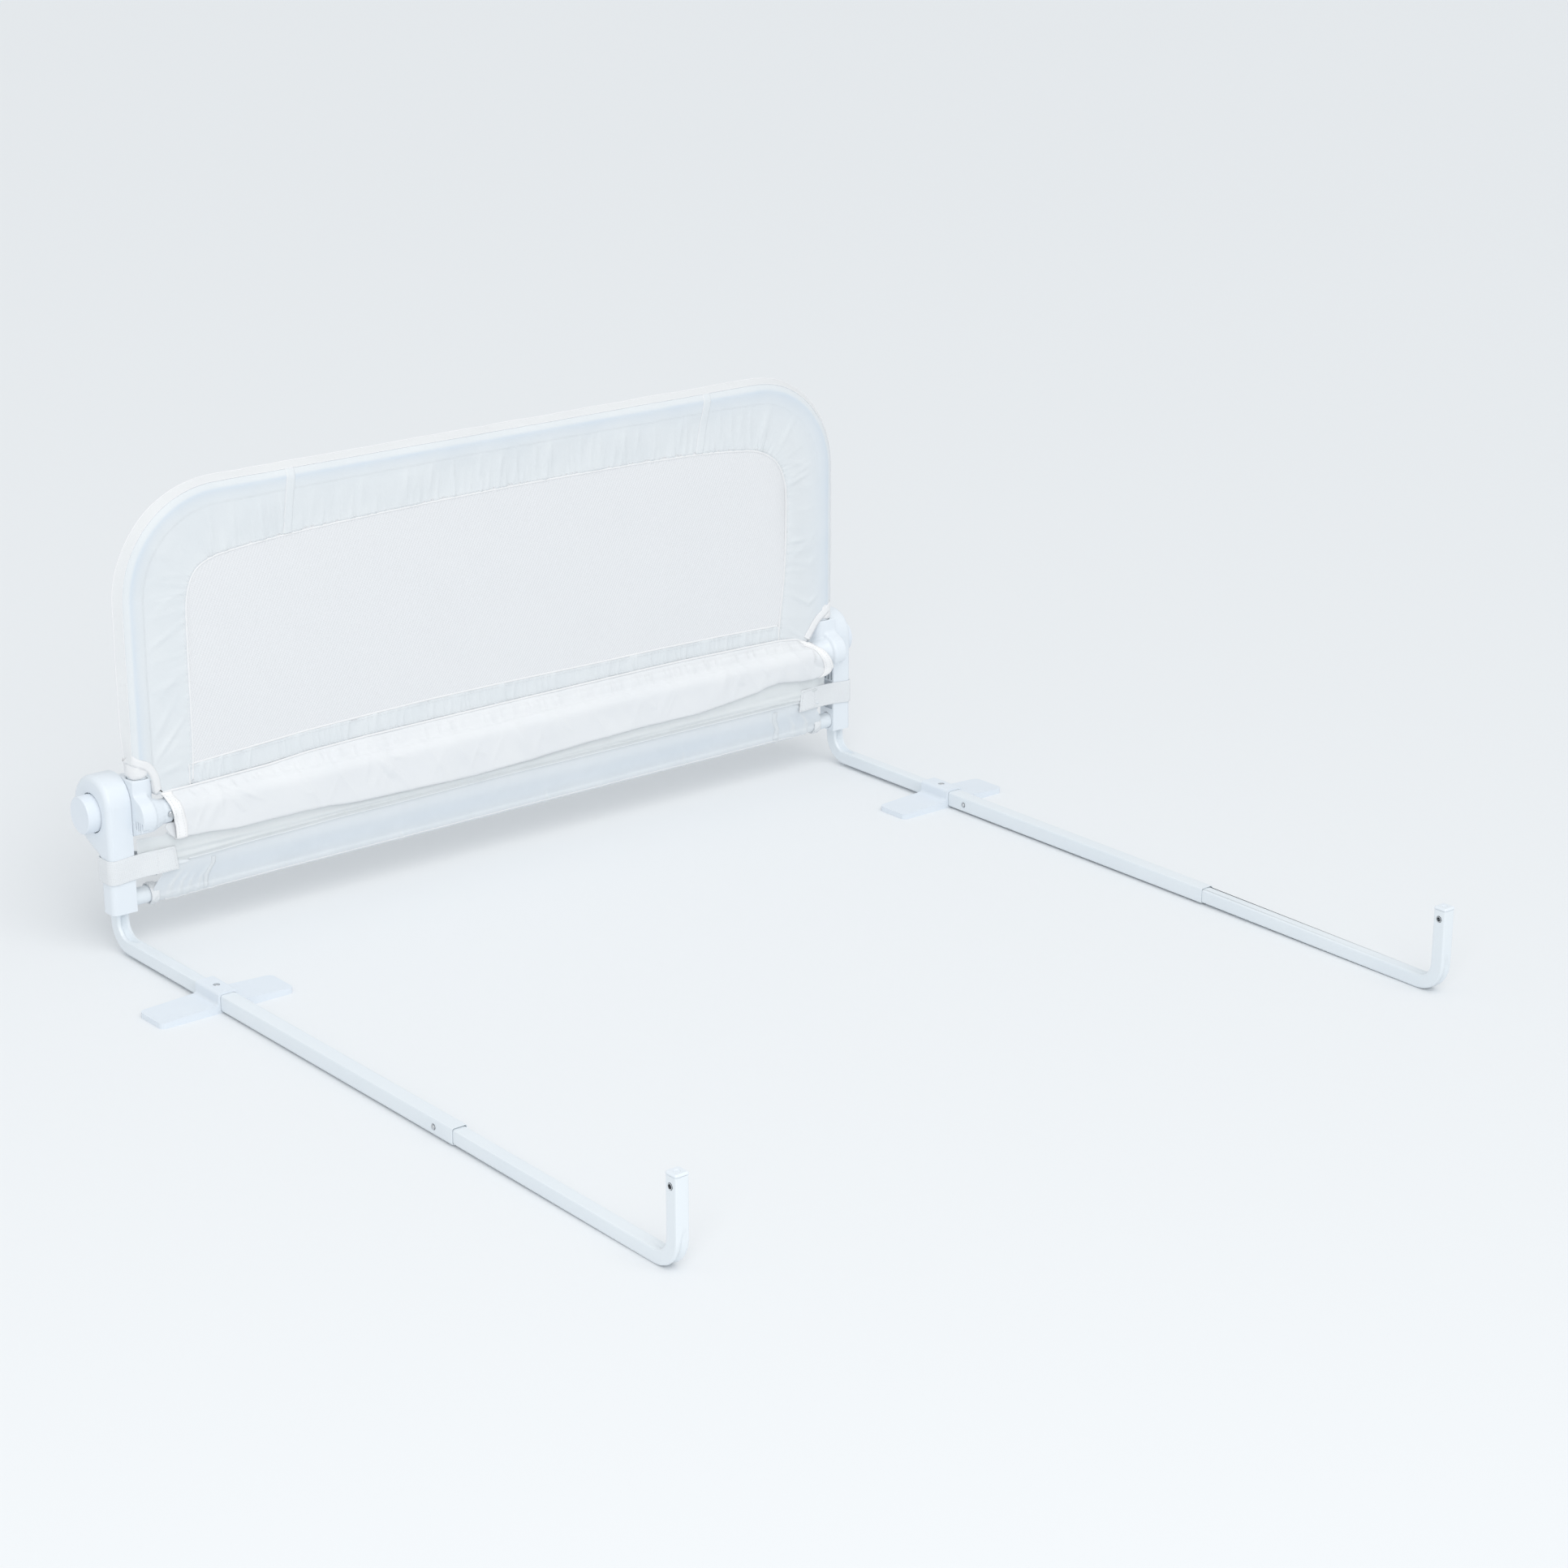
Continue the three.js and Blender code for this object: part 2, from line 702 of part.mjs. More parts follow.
// A round tube along X between two stated ends
function straightTube(radius, wall, halfLength, back, height) {
  const ring = (size) => circle(size, roundSides).map((p) => point(p.x + back, p.y + height));
  return extrudeAlongX(ring(radius), -halfLength, halfLength, 0, 0, ring(radius - wall));
}

function guardFrame() {
  return sweep(circle(guardTubeRadius, tubeSides), guardPath(legBottom),
    circle(guardTubeRadius - guardTubeWall, tubeSides));
}

// Ring of a square tube with a pressed groove on its inward side and another on its outward side
function squareRing(size, cornerRound, inwardDepth, outwardDepth) {
  const half = size / 2;
  const run = half - cornerRound;
  const grooveShares = [[-1, 0], [-0.5, 0.6], [0, 1], [0.5, 0.6], [1, 0]];
  const creaseShares = [[-1, 0], [0, 1], [1, 0]];
  const inward = grooveShares.map(([along, deep]) =>
    point(-along * grooveHalfWidth, half - deep * inwardDepth));
  const outward = creaseShares.map(([along, deep]) =>
    point(along * grooveHalfWidth, -half + deep * outwardDepth));
  return [
    ...arc(run, run, cornerRound, 0, 90, 2),
    ...inward,
    ...arc(-run, run, cornerRound, 90, 180, 2),
    ...arc(-run, -run, cornerRound, 180, 270, 2),
    ...outward,
    ...arc(run, -run, cornerRound, 270, 360, 2),
  ];
}

// Bent square tube in the plane x = across. Stations run upright, through the bend, along the arm.
// Each has its centre, the direction to the inside of the bend and how deep the groove is there.
function bentSquareTube(stations, across, size, wall, cornerRound, inwardDepth, outwardDepth) {
  const rings = (shrink) => stations.map(({ back, height, inward, depthShare }) =>
    squareRing(size - 2 * shrink, cornerRound - shrink, inwardDepth * depthShare,
      outwardDepth * depthShare)
      .map((p) => new THREE.Vector3(across + p.x, back + inward.x * p.y, height + inward.y * p.y)));
  return loft(rings(0), rings(wall));
}

// Stations of a bend that turns from upright at one Y to level, towards the mattress or back.
// The bend lies lower than the arm by the droop, which ends where the level run meets its mouth.
function bendStations({ back, direction, top, groovedUpright, droop, mouth, levelEnd }) {
  const centreY = back + direction * armBendRadius;
  const level = armHeight - droop;
  const centreZ = level + armBendRadius;
  const bend = Array.from({ length: bendSteps + 1 }, (_, step) => {
    const angle = degrees((90 * step) / bendSteps);
    return {
      back: centreY - direction * armBendRadius * Math.cos(angle),
      height: centreZ - armBendRadius * Math.sin(angle),
      inward: point(direction * Math.cos(angle), Math.sin(angle)),
      depthShare: 1,
    };
  });
  const upright = (height, depthShare) => ({ back, height, inward: point(direction, 0), depthShare });
  const flat = (place, height) => ({ back: place, height, inward: point(0, 1), depthShare: 0 });
  return [
    ...(groovedUpright ? [upright(top, 1)] : [upright(top, 0), upright(centreZ + grooveFade, 0)]),
    ...bend,
    flat(centreY + direction * grooveFade, level),
    flat(mouth, armHeight),
    flat(levelEnd, armHeight),
  ];
}

function armTube() {
  const stations = bendStations({
    back: armBack,
    direction: -1,
    top: armSocketTop - seatGap,
    groovedUpright: true,
    droop: 0,
    mouth: -footBack,
    levelEnd: -armTubeEnd,
  });
  const tube = solid(bentSquareTube(stations, postMiddle, armSize, armWall, armCornerRound,
    grooveDepth, 0));
  return toGeometry(cut(tube, [
    rodAlongX(boreRound(screwShankRadius, seatGap, smallSides), postInner, postMiddle, armBack,
      postScrewHeight, smallSides),
    rodAlongX(pinHoleRadius, postMiddle - armSize, postMiddle, -nearPinReach, armHeight, smallSides),
    rodAlongZ(boreRound(screwShankRadius, seatGap, smallSides), postMiddle, -footMiddle, armHeight,
      armHeight + armSize, smallSides),
  ]));
}

function hookTube() {
  const stations = bendStations({
    back: hookBack,
    direction: 1,
    top: hookTop - capThickness - seatGap,
    groovedUpright: false,
    droop: armLift,
    mouth: -sleeveEnd,
    levelEnd: hookOverlap - sleeveEnd,
  });
  const tube = solid(bentSquareTube(stations, postMiddle, armSize, armWall, armCornerRound,
    creaseDepth, grooveDepth / 2));
  return toGeometry(cut(tube, [
    rodAlongX(boreRound(hookHoleRadius, seatGap, smallSides), postMiddle - armSize,
      postMiddle + armSize, hookBack, hookTop - hookHoleDrop, smallSides),
    rodAlongX(pinHoleRadius, postMiddle, postMiddle + armSize, -sleeveEnd + farPinBack, armHeight,
      smallSides),
  ]));
}

function sleeve() {
  const ring = (size, round) => roundRectangle(size, size, round, 2)
    .map((p) => point(p.x + postMiddle, p.y + armHeight));
  const wall = extrudeAlongY(ring(sleeveSize, sleeveCornerRound), -sleeveEnd, -sleeveStart,
    ring(sleeveSize - 2 * sleeveWall, sleeveCornerRound - sleeveWall));
  return toGeometry(cut(solid(wall), [
    rodAlongX(pinHoleRadius, postMiddle - sleeveSize, postMiddle, -nearPinReach, armHeight, smallSides),
    rodAlongX(pinHoleRadius, postMiddle, postMiddle + sleeveSize, -sleeveEnd + farPinBack, armHeight,
      smallSides),
  ]));
}

// Plug with a square head and a shallow dimple, its stem in the mouth of the hook tube
function hookCap() {
  const head = armSize + 2 * capOverhang;
  const stem = armSize - 2 * armWall - 2 * seatGap;
  const level = (size, round, height) => roundRectangle(size, size, round, 2)
    .map((p) => new THREE.Vector3(postMiddle + p.x, hookBack + p.y, height));
  const seat = hookTop - capThickness;
  const whole = join([
    loft([
      level(head, armCornerRound, seat),
      level(head, armCornerRound, hookTop - capThickness / 2),
      level(head - capThickness, armCornerRound / 2, hookTop),
    ]),
    extrudeAlongZ(level(stem, armCornerRound - armWall, seat).map((p) => point(p.x, p.y)),
      seat - capStemLength, seat + capThickness / 2),
  ]);
  return toGeometry(cut(whole, [
    rodAlongZ(stem / 4, postMiddle, hookBack, hookTop - capDimpleDepth, hookTop + overrun, smallSides),
  ]));
}

// Flared metal bush through the hole near the hook's top
function hookBush() {
  const ring = (radius) => circle(radius, 2 * smallSides)
    .map((p) => point(p.x + hookBack, p.y + hookTop - hookHoleDrop));
  return extrudeAlongX(ring(hookHoleRadius), postMiddle - armSize / 2 - bushWall / 2,
    postMiddle + armSize / 2 + bushWall / 2, 0, 0, ring(hookHoleRadius - bushWall));
}

// Wide flat foot with a saddle over the arm: cross-section in X and Z, trimmed to its plan
function foot() {
  const half = footWidth / 2;
  const saddleHalf = sleeveSize / 2 + seatGap + saddleWall;
  const saddleTop = armHeight + sleeveSize / 2 + seatGap + saddleWall;
  const side = [
    ...arc(saddleHalf + saddleRound, footRootThickness + saddleRound, saddleRound, 270, 180, 3),
    ...arc(saddleHalf - saddleRound, saddleTop - saddleRound, saddleRound, 0, 90, 3),
  ];
  const section = [
    point(half, 0),
    point(half, footTipThickness),
    ...side,
    ...[...side].reverse().map((p) => point(-p.x, p.y)),
    point(-half, footTipThickness),
    point(-half, 0),
  ].map((p) => point(p.x + postMiddle, p.y));
  const plan = roundRectangle(footWidth, footDepth, footCornerRound, 3)
    .map((p) => point(p.x + postMiddle, p.y - footMiddle));
  const body = solid(extrudeAlongY(section, -footFront, -footBack))
    .intersect(solid(extrudeAlongZ(plan, 0, saddleTop + overrun)));
  const channel = (size, round, from, to) => extrudeAlongY(
    roundRectangle(size + 2 * seatGap, size + 2 * seatGap, round, 2)
      .map((p) => point(p.x + postMiddle, p.y + armHeight)), from, to);
  return toGeometry(cut(body, [
    channel(armSize, armCornerRound, -footFront - overrun, -footBack + overrun),
    channel(sleeveSize, sleeveCornerRound, -footFront - overrun, -footFront + sleevePocket),
    rodAlongZ(boreRound(screwHeadRadius, seatGap, 2 * smallSides), postMiddle, -footMiddle,
      saddleTop - screwHeadHeight - seatGap, saddleTop + overrun, 2 * smallSides),
    rodAlongZ(boreRound(screwShankRadius, seatGap, smallSides), postMiddle, -footMiddle, armHeight,
      saddleTop, smallSides),
  ]));
}

// A screw: head and shank on one axis, placed by the caller. The head's top is at zero.
function screw(shankLength) {
  const points = [
    point(0, 0),
    point(screwHeadRadius - screwHeadHeight / 3, 0),
    point(screwHeadRadius, -screwHeadHeight / 3),
    point(screwHeadRadius, -screwHeadHeight),
    point(screwShankRadius, -screwHeadHeight),
    point(screwShankRadius, -screwHeadHeight - shankLength),
    point(0, -screwHeadHeight - shankLength),
  ];
  return new THREE.LatheGeometry(points, smallSides);
}

function footScrew() {
  const saddleTop = armHeight + sleeveSize / 2 + seatGap + saddleWall;
  const length = saddleTop - screwHeadHeight - armHeight - armSize / 2 + armWall;
  return screw(length).rotateX(Math.PI / 2)
    .translate(postMiddle, -footMiddle, saddleTop);
}

function postScrew() {
  const head = postInner + screwHollowDepth - seatGap - screwHeadHeight;
  const length = postMiddle - armSize / 2 + armWall - head - screwHeadHeight;
  return screw(length).rotateZ(Math.PI / 2).translate(head, armBack, postScrewHeight);
}

function knuckleScrew() {
  const head = middleTubeFront + guardTubeRadius + knuckleCollarWall + seatGap + screwHeadHeight;
  return screw(knuckleCollarWall).rotateX(Math.PI)
    .translate(postInner - knuckleScrewInset, -head, middleTubeHeight);
}

// Round-headed pin that springs out through a tube wall and the sleeve over it.
// outward is 1 for a pin on the outer side of the arm and -1 for one on its inner side.
function snapPin(reach, outward) {
  const inside = armSize / 2 - armWall - seatGap;
  const tip = sleeveSize / 2 + pinProud;
  const profile = [
    [inside - pinFlange, 0],
    [inside - pinFlange, pinFlangeRadius],
    [inside, pinFlangeRadius],
    [inside, pinRadius],
    [tip - pinRadius / 2, pinRadius],
    [tip - pinRadius / 6, pinRadius * 0.7],
    [tip, 0],
  ];
  const pin = turnAlongX(profile, 0, 0, smallSides);
  pin.scale(outward, 1, 1);
  return pin.translate(postMiddle, -reach, armHeight);
}

// Bent leaf spring behind a pin: one leg along the far wall, the other under the pin's flange
function snapSpring(reach, outward) {
  const far = armSize / 2 - armWall - seatGap;
  const near = far - pinFlange - seatGap;
  const half = leafLength / 2;
  const outline = [
    point(-half, -far),
    point(half, -far),
    point(half + leafThickness * 2, -far / 2),
    point(half, near - leafThickness),
    point(-pinFlangeRadius, near - leafThickness / 2),
    point(-pinFlangeRadius, near - leafThickness - leafThickness / 2),
    point(half - leafThickness, near - 2 * leafThickness),
    point(half + leafThickness, -far / 2),
    point(half - leafThickness, -far + leafThickness),
    point(-half, -far + leafThickness),
  ].map((p) => point(outward * p.y + postMiddle, p.x - reach));
  return extrudeAlongZ(outline, armHeight - leafWidth / 2, armHeight + leafWidth / 2);
}

// Section of the cover across its border: a round sleeve for the tube, then a flat double layer.
// It is drawn with x out of the panel and y to the mattress side, from the tube's centre, and
// turned to the way that a sweep up the left leg takes it.
function coverSection() {
  const radius = guardTubeRadius + clothGap + clothThickness;
  const inner = radius - borderWidth;
  const front = borderForward + borderThickness / 2;
  const back = borderForward - borderThickness / 2;
  const neck = -radius - bulgeTaper;
  return [
    ...arc(0, 0, radius, -130, 110, 12),
    point(neck, front),
    point(inner, front),
    point(inner, back),
    point(neck, back),
  ].map((p) => point(p.y, -p.x));
}

function guardCover() {
  const bore = circle(boreRound(guardTubeRadius, clothGap, tubeSides), tubeSides);
  const edge = legCentre + guardTubeRadius + clothGap + clothThickness;
  const plane = guardTubeBack - borderForward;
  const hemInset = borderWidth - seatGap;
  const cover = solid(sweep(coverSection(), guardPath(coverBottom), bore)).add(solid(block(
    [hemInset - edge, plane - borderThickness / 2, coverBottom],
    [edge - hemInset, plane + borderThickness / 2, windowBottom - seatGap])));
  const openings = [-1, 1].map((side) => {
    const quarter = arc(0, 0, 1, 0, 360, 4 * bendSteps).slice(1)
      .map((p) => point(side * edge + p.x * cornerOpeningWidth, coverBottom + p.y * cornerOpeningHeight));
    return extrudeAlongY(quarter, -2 * guardTubeRadius, guardTubeBack + 2 * guardTubeRadius);
  });
  return toGeometry(cut(cover, openings));
}

// Net of the window: a thin sheet with staggered diamond gaps inside a plain hem
function meshWindow() {
  const radius = guardTubeRadius + clothGap + clothThickness;
  const hem = borderWidth - radius + seatGap;
  const halfWidth = legCentre - hem;
  const top = guardTubeTop - hem;
  const windowCorner = guardBendRadius - hem;
  const plane = guardTubeBack - borderForward;
  const outline = [
    point(halfWidth, windowBottom),
    ...arc(halfWidth - windowCorner, top - windowCorner, windowCorner, 0, 90, bendSteps),
    ...arc(windowCorner - halfWidth, top - windowCorner, windowCorner, 90, 180, bendSteps),
    point(-halfWidth, windowBottom),
  ];
  const sheet = solid(extrudeAlongY(outline, plane - windowThickness / 2, plane + windowThickness / 2));
  const columnPitch = (2 * halfWidth - 2 * strandWidth) / meshColumns;
  const rowPitch = (top - windowBottom - 2 * strandWidth) / meshRows;
  const halfColumn = columnPitch / 2 - strandWidth / 2;
  const halfRow = rowPitch / 2 - strandWidth / 2;
  const gaps = [];
  for (let row = 0; row < 2 * meshRows - 1; row += 1) {
    const shift = row % 2;
    for (let column = 0; column < meshColumns - shift; column += 1) {
      const x = -halfWidth + strandWidth + (column + (1 + shift) / 2) * columnPitch;
      const z = windowBottom + strandWidth + ((row + 1) / 2) * rowPitch;
      const corner = Math.abs(x) > halfWidth - windowCorner && z > top - windowCorner;
      if (!corner) {
        gaps.push(extrudeAlongY([
          point(x + halfColumn, z), point(x, z + halfRow), point(x - halfColumn, z), point(x, z - halfRow),
        ], plane - windowThickness, plane + windowThickness));
      }
    }
  }
  return toGeometry(sheet.subtract(wasm.Manifold.union(gaps.map(solid))));
}

// Wrap: from the cover's lower seam round the middle tube, down to a loose double lip
function coverWrap() {
  const radius = guardTubeRadius + clothGap + clothThickness;
  const plane = guardTubeBack - borderForward;
  const half = borderThickness / 2;
  const centre = point(-middleTubeFront, middleTubeHeight);
  const fold = centre.y - radius - 2 * borderThickness;
  const section = [
    point(plane + half, coverBottom - seatGap),
    point(plane - half, coverBottom - seatGap),
    ...arc(centre.x, centre.y, radius, 110, 200, 5),
    point(-wrapLipForward - half, fold),
    point(-wrapLipForward, wrapLip),
    point(-wrapLipForward + borderThickness, wrapLip),
    point(-wrapLipForward + half, fold),
    ...arc(centre.x, centre.y, radius, 240, 400, 8),
  ];
  const bore = circle(boreRound(guardTubeRadius, clothGap, tubeSides), tubeSides)
    .map((p) => p.clone().add(centre));
  const wrap = solid(extrudeAlongX(section, -wrapHalfLength, wrapHalfLength, 0, 0, bore));
  const ends = [-1, 1].map((side) => extrudeAlongY([
    point(side * wrapHalfLength, middleTubeHeight + radius),
    point(side * (wrapHalfLength - wrapEndSlant), wrapLip - overrun),
    point(side * (wrapHalfLength + overrun), wrapLip - overrun),
    point(side * (wrapHalfLength + overrun), middleTubeHeight + radius),
  ], -4 * guardTubeRadius, 4 * guardTubeRadius));
  return toGeometry(cut(wrap, ends));
}

// Skirt: a thin sheet from behind the wrap's lip, with a stitched ridge, closed round the lower
// tube. It hangs in shallow folds that deepen into gathers, and it is drawn in at both ends.
function skirt() {
  const loopTurn = 310;
  const loopFacets = 8;
  const flatten = Math.cos(degrees(loopTurn / loopFacets / 2));
  const loop = (lowerTubeRadius + clothGap + skirtSheet / 2) / flatten;
  const stations = 3 * foldCount;
  const rings = Array.from({ length: stations + 1 }, (_, step) => {
    const along = -1 + (2 * step) / stations;
    const x = along * skirtHalfLength;
    const gather = Math.exp((Math.abs(x) - skirtHalfLength) / gatherReach);
    const fold = (1 + Math.sin(along * foldCount * Math.PI)) / 2;
    const back = gather * skirtDrawIn + fold * foldDepth * (1 + 2 * gather) / 3;
    const low = (seamHeight + lowerTubeHeight) / 2;
    const spine = [
      point(-skirtTopForward, skirtTop),
      point(-skirtTopForward + back / 3, (skirtTop + wrapLip) / 2),
      point(back - (skirtTopForward + seamForward) / 2, (wrapLip + seamHeight) / 2),
      point(back - seamForward, seamHeight + 2 * skirtSheet),
      point(back - seamForward - seamProud, seamHeight),
      point(back - seamForward, seamHeight - 2 * skirtSheet),
      point(back + (lowerTubeBack - loop - seamForward) / 2, low),
      ...arc(lowerTubeBack, lowerTubeHeight, loop, 165, 165 + loopTurn, loopFacets),
    ];
    return sheetRing(spine, skirtSheet).map((p) => new THREE.Vector3(x, p.x, p.y));
  });
  return loft(rings);
}

// Closed ring round a line of points: along one side, then back along the other
function sheetRing(spine, thickness) {
  const normals = spine.slice(1).map((p, place) => {
    const along = p.clone().sub(spine[place]).normalize();
    return point(-along.y, along.x);
  });
  const offsets = spine.map((_, place) => {
    const before = normals[Math.max(place - 1, 0)];
    const after = normals[Math.min(place, normals.length - 1)];
    const middle = before.clone().add(after);
    return middle.multiplyScalar(thickness / middle.lengthSq());
  });
  return [
    ...spine.map((p, place) => p.clone().sub(offsets[place])),
    ...spine.map((p, place) => p.clone().add(offsets[place])).reverse(),
  ];
}

function skirtBand() {
  const from = skirtHalfLength + seatGap;
  const ring = (radius) => circle(radius, roundSides)
    .map((p) => point(p.x + lowerTubeBack, p.y + lowerTubeHeight));
  const bore = boreRound(lowerTubeRadius, clothGap, roundSides);
  return extrudeAlongX(ring(bore + bandThickness), from, from + bandWidth, 0, 0, ring(bore));
}

// Strap: from the front of the skirt round the outside of the post to the edge of the skirt
function strap() {
  const gap = clothGap + strapThickness / 2;
  const round = postEdgeRound + gap;
  const back = gap + postBackAt(strapTop);
  const spine = [
    point(strapFrontEnd, -strapFrontForward),
    point(postInner, -gap - strapThickness),
    ...arc(postOuter - postEdgeRound, postEdgeRound, round, 270, 360, 4),
    ...arc(postOuter - postEdgeRound, back - round, round, 0, 90, 4),
    point(postInner, back),
    point(strapBackEnd, -strapBackForward),
  ];
  return extrudeAlongZ(sheetRing(spine, strapThickness), strapBottom, strapTop);
}

// The whole rail stands with its origin on the floor under the middle of its box
const rail = new THREE.Group();
const frame = new THREE.Group();
frame.position.y = (armReach - hubBack) / 2;
rail.add(frame);

const finishes = {
  moulding: { color: 0xc9dcf0, roughness: 0.42, metalness: 0 },
  buttonPlastic: { color: 0xb4cbe2, roughness: 0.4, metalness: 0 },
  paintedTube: { color: 0xc6d8ea, roughness: 0.32, metalness: 0.2 },
  footPlastic: { color: 0xbcd4ee, roughness: 0.4, metalness: 0 },
  steel: { color: 0x9aa3ab, roughness: 0.3, metalness: 1 },
  border: { color: 0xe3edf5, roughness: 0.55, metalness: 0 },
  net: { color: 0xd3dfea, roughness: 0.8, metalness: 0 },
  wrapCloth: { color: 0xeaf1f8, roughness: 0.7, metalness: 0 },
  sheer: { color: 0xcfdbe6, roughness: 0.75, metalness: 0 },
  webbing: { color: 0xd8e2ea, roughness: 0.85, metalness: 0 },
};

// Puts a piece in the frame at its own middle, so that its position is where it sits
function place(name, geometry, finish) {
  const skin = facingOut(bare(geometry));
  skin.computeBoundingBox();
  const middle = skin.boundingBox.getCenter(new THREE.Vector3());
  const faceted = skin.translate(-middle.x, -middle.y, -middle.z).toNonIndexed();
  faceted.computeVertexNormals();
  const mesh = new THREE.Mesh(faceted, new THREE.MeshStandardMaterial(finish));
  mesh.name = name;
  mesh.position.copy(middle);
  frame.add(mesh);
}

// The right-hand piece and its mirror image on the left
function placePair(name, geometry, finish) {
  place(`right_${name}`, geometry, finish);
  place(`left_${name}`, bare(geometry).scale(-1, 1, 1), finish);
}

placePair('post', post(), finishes.moulding);
placePair('push_button', button(), finishes.buttonPlastic);
placePair('button_spring', buttonSpring(), finishes.steel);
placePair('pivot_bolt', pivotBolt(), finishes.steel);
placePair('pivot_nut', pivotNut(), finishes.steel);
placePair('knuckle', knuckle(), finishes.moulding);
placePair('knuckle_screw', knuckleScrew(), finishes.steel);
placePair('post_screw', postScrew(), finishes.steel);
placePair('arm_tube', armTube(), finishes.paintedTube);
placePair('arm_sleeve', sleeve(), finishes.paintedTube);
placePair('hook_tube', hookTube(), finishes.paintedTube);
placePair('hook_cap', hookCap(), finishes.moulding);
placePair('hook_bush', hookBush(), finishes.steel);
placePair('foot', foot(), finishes.footPlastic);
placePair('foot_screw', footScrew(), finishes.steel);
placePair('near_snap_pin', snapPin(nearPinReach, -1), finishes.steel);
placePair('near_snap_spring', snapSpring(nearPinReach, -1), finishes.steel);
placePair('far_snap_pin', snapPin(sleeveEnd - farPinBack, 1), finishes.steel);
placePair('far_snap_spring', snapSpring(sleeveEnd - farPinBack, 1), finishes.steel);
place('guard_frame', guardFrame(), finishes.paintedTube);
place('middle_tube', straightTube(guardTubeRadius, middleTubeWall, knuckleInner - seatGap,
  -middleTubeFront, middleTubeHeight), finishes.paintedTube);
place('lower_tube', straightTube(lowerTubeRadius, lowerTubeWall, postInner + lowerTubeSeat,
  lowerTubeBack, lowerTubeHeight), finishes.paintedTube);
place('guard_cover', guardCover(), finishes.border);
place('mesh_window', meshWindow(), finishes.net);
place('cover_wrap', coverWrap(), finishes.wrapCloth);
place('skirt', skirt(), finishes.sheer);
placePair('skirt_band', skirtBand(), finishes.webbing);
placePair('strap', strap(), finishes.webbing);

export default rail;
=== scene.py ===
# %% [markdown]
# # A folding bed guard rail, dressed for a picture
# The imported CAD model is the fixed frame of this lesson. Its hard parts stay where they are and
# get soft edges and painted or moulded finishes. Its cloth parts are plain stand-ins, so each of
# them is sewn again here: the border, the net, the wrap, the skirt, its bands and its straps.

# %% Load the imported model
import math
import bpy
import numpy as np
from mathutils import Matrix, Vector


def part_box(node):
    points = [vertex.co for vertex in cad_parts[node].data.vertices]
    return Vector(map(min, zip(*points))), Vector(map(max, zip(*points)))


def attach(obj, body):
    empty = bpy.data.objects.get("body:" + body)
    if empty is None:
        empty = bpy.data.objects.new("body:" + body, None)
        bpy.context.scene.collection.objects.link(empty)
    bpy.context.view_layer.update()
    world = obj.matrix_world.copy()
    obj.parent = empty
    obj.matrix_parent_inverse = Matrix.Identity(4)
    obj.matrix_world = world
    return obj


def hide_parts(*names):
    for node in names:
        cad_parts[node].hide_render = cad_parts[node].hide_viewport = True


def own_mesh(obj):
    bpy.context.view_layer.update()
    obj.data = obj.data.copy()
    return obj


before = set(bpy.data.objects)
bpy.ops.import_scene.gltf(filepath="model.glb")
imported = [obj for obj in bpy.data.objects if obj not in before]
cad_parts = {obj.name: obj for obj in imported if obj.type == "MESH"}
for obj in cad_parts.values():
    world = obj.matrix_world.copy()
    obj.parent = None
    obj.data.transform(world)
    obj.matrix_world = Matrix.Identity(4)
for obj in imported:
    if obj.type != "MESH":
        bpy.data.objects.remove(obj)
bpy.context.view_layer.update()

# %% [markdown]
# The camera stands in front of the left end and looks down at about 19 degrees. The lens is long,
# so the far arm hardly shrinks. These numbers were solved from the edges of the posts and arms,
# and the whole rail is then seen as in the photograph.

# %% Camera
LOOKS_DOWN, TURNED_RIGHT = 19.08, 39.30


def add_object(name, data):
    added = bpy.data.objects.new(name, data)
    bpy.context.scene.collection.objects.link(added)
    return added


camera = add_object("studio_camera", bpy.data.cameras.new("studio_camera"))
camera.data.sensor_width = 36
camera.data.lens = 80.54
camera.data.clip_end = 100
camera.location = (-2.27271, -2.82930, 1.46659)
camera.rotation_euler = (math.radians(90 - LOOKS_DOWN), 0, math.radians(-TURNED_RIGHT))
bpy.context.scene.camera = camera
print("camera at", tuple(camera.location))

# %% [markdown]
# A shader is easier to read as a formula than as a web of nodes. `Wire` wraps one socket, and its
# operators add the Math nodes, so that `1 - mask` or `sine * 0.5 + 0.5` can be written as they
# are.

# %% Wire: shader sums as Python sums
class Wire:
    """One output socket of a finish, which can be added, subtracted and multiplied."""

    def __init__(self, finish, socket):
        self.finish = finish
        self.socket = socket

    def calculate(self, operation, *values):
        inputs = dict(zip(("Value", "Value_001"), values))
        return self.finish.node("ShaderNodeMath", {"operation": operation}, inputs)

    def __add__(self, other):
        return self.calculate("ADD", self, other)

    def __radd__(self, other):
        return self.calculate("ADD", other, self)

    def __sub__(self, other):
        return self.calculate("SUBTRACT", self, other)

    def __rsub__(self, other):
        return self.calculate("SUBTRACT", other, self)

    def __mul__(self, other):
        return self.calculate("MULTIPLY", self, other)

    def __rmul__(self, other):
        return self.calculate("MULTIPLY", other, self)

    def sine(self):
        return self.calculate("SINE", self)

    def within(self, low, high):
        inputs = {"Value": self, "From Min": low, "From Max": high}
        return self.finish.node("ShaderNodeMapRange", {"interpolation_type": "SMOOTHSTEP"}, inputs)


# %% [markdown]
# `Finish` is one material. All its nodes come from one method that takes the node's type, its
# settings and its inputs. The places on a part are its own metres, as the parts are modelled in
# place, so a pattern keeps its true size on every part and turns with it when the guard folds.

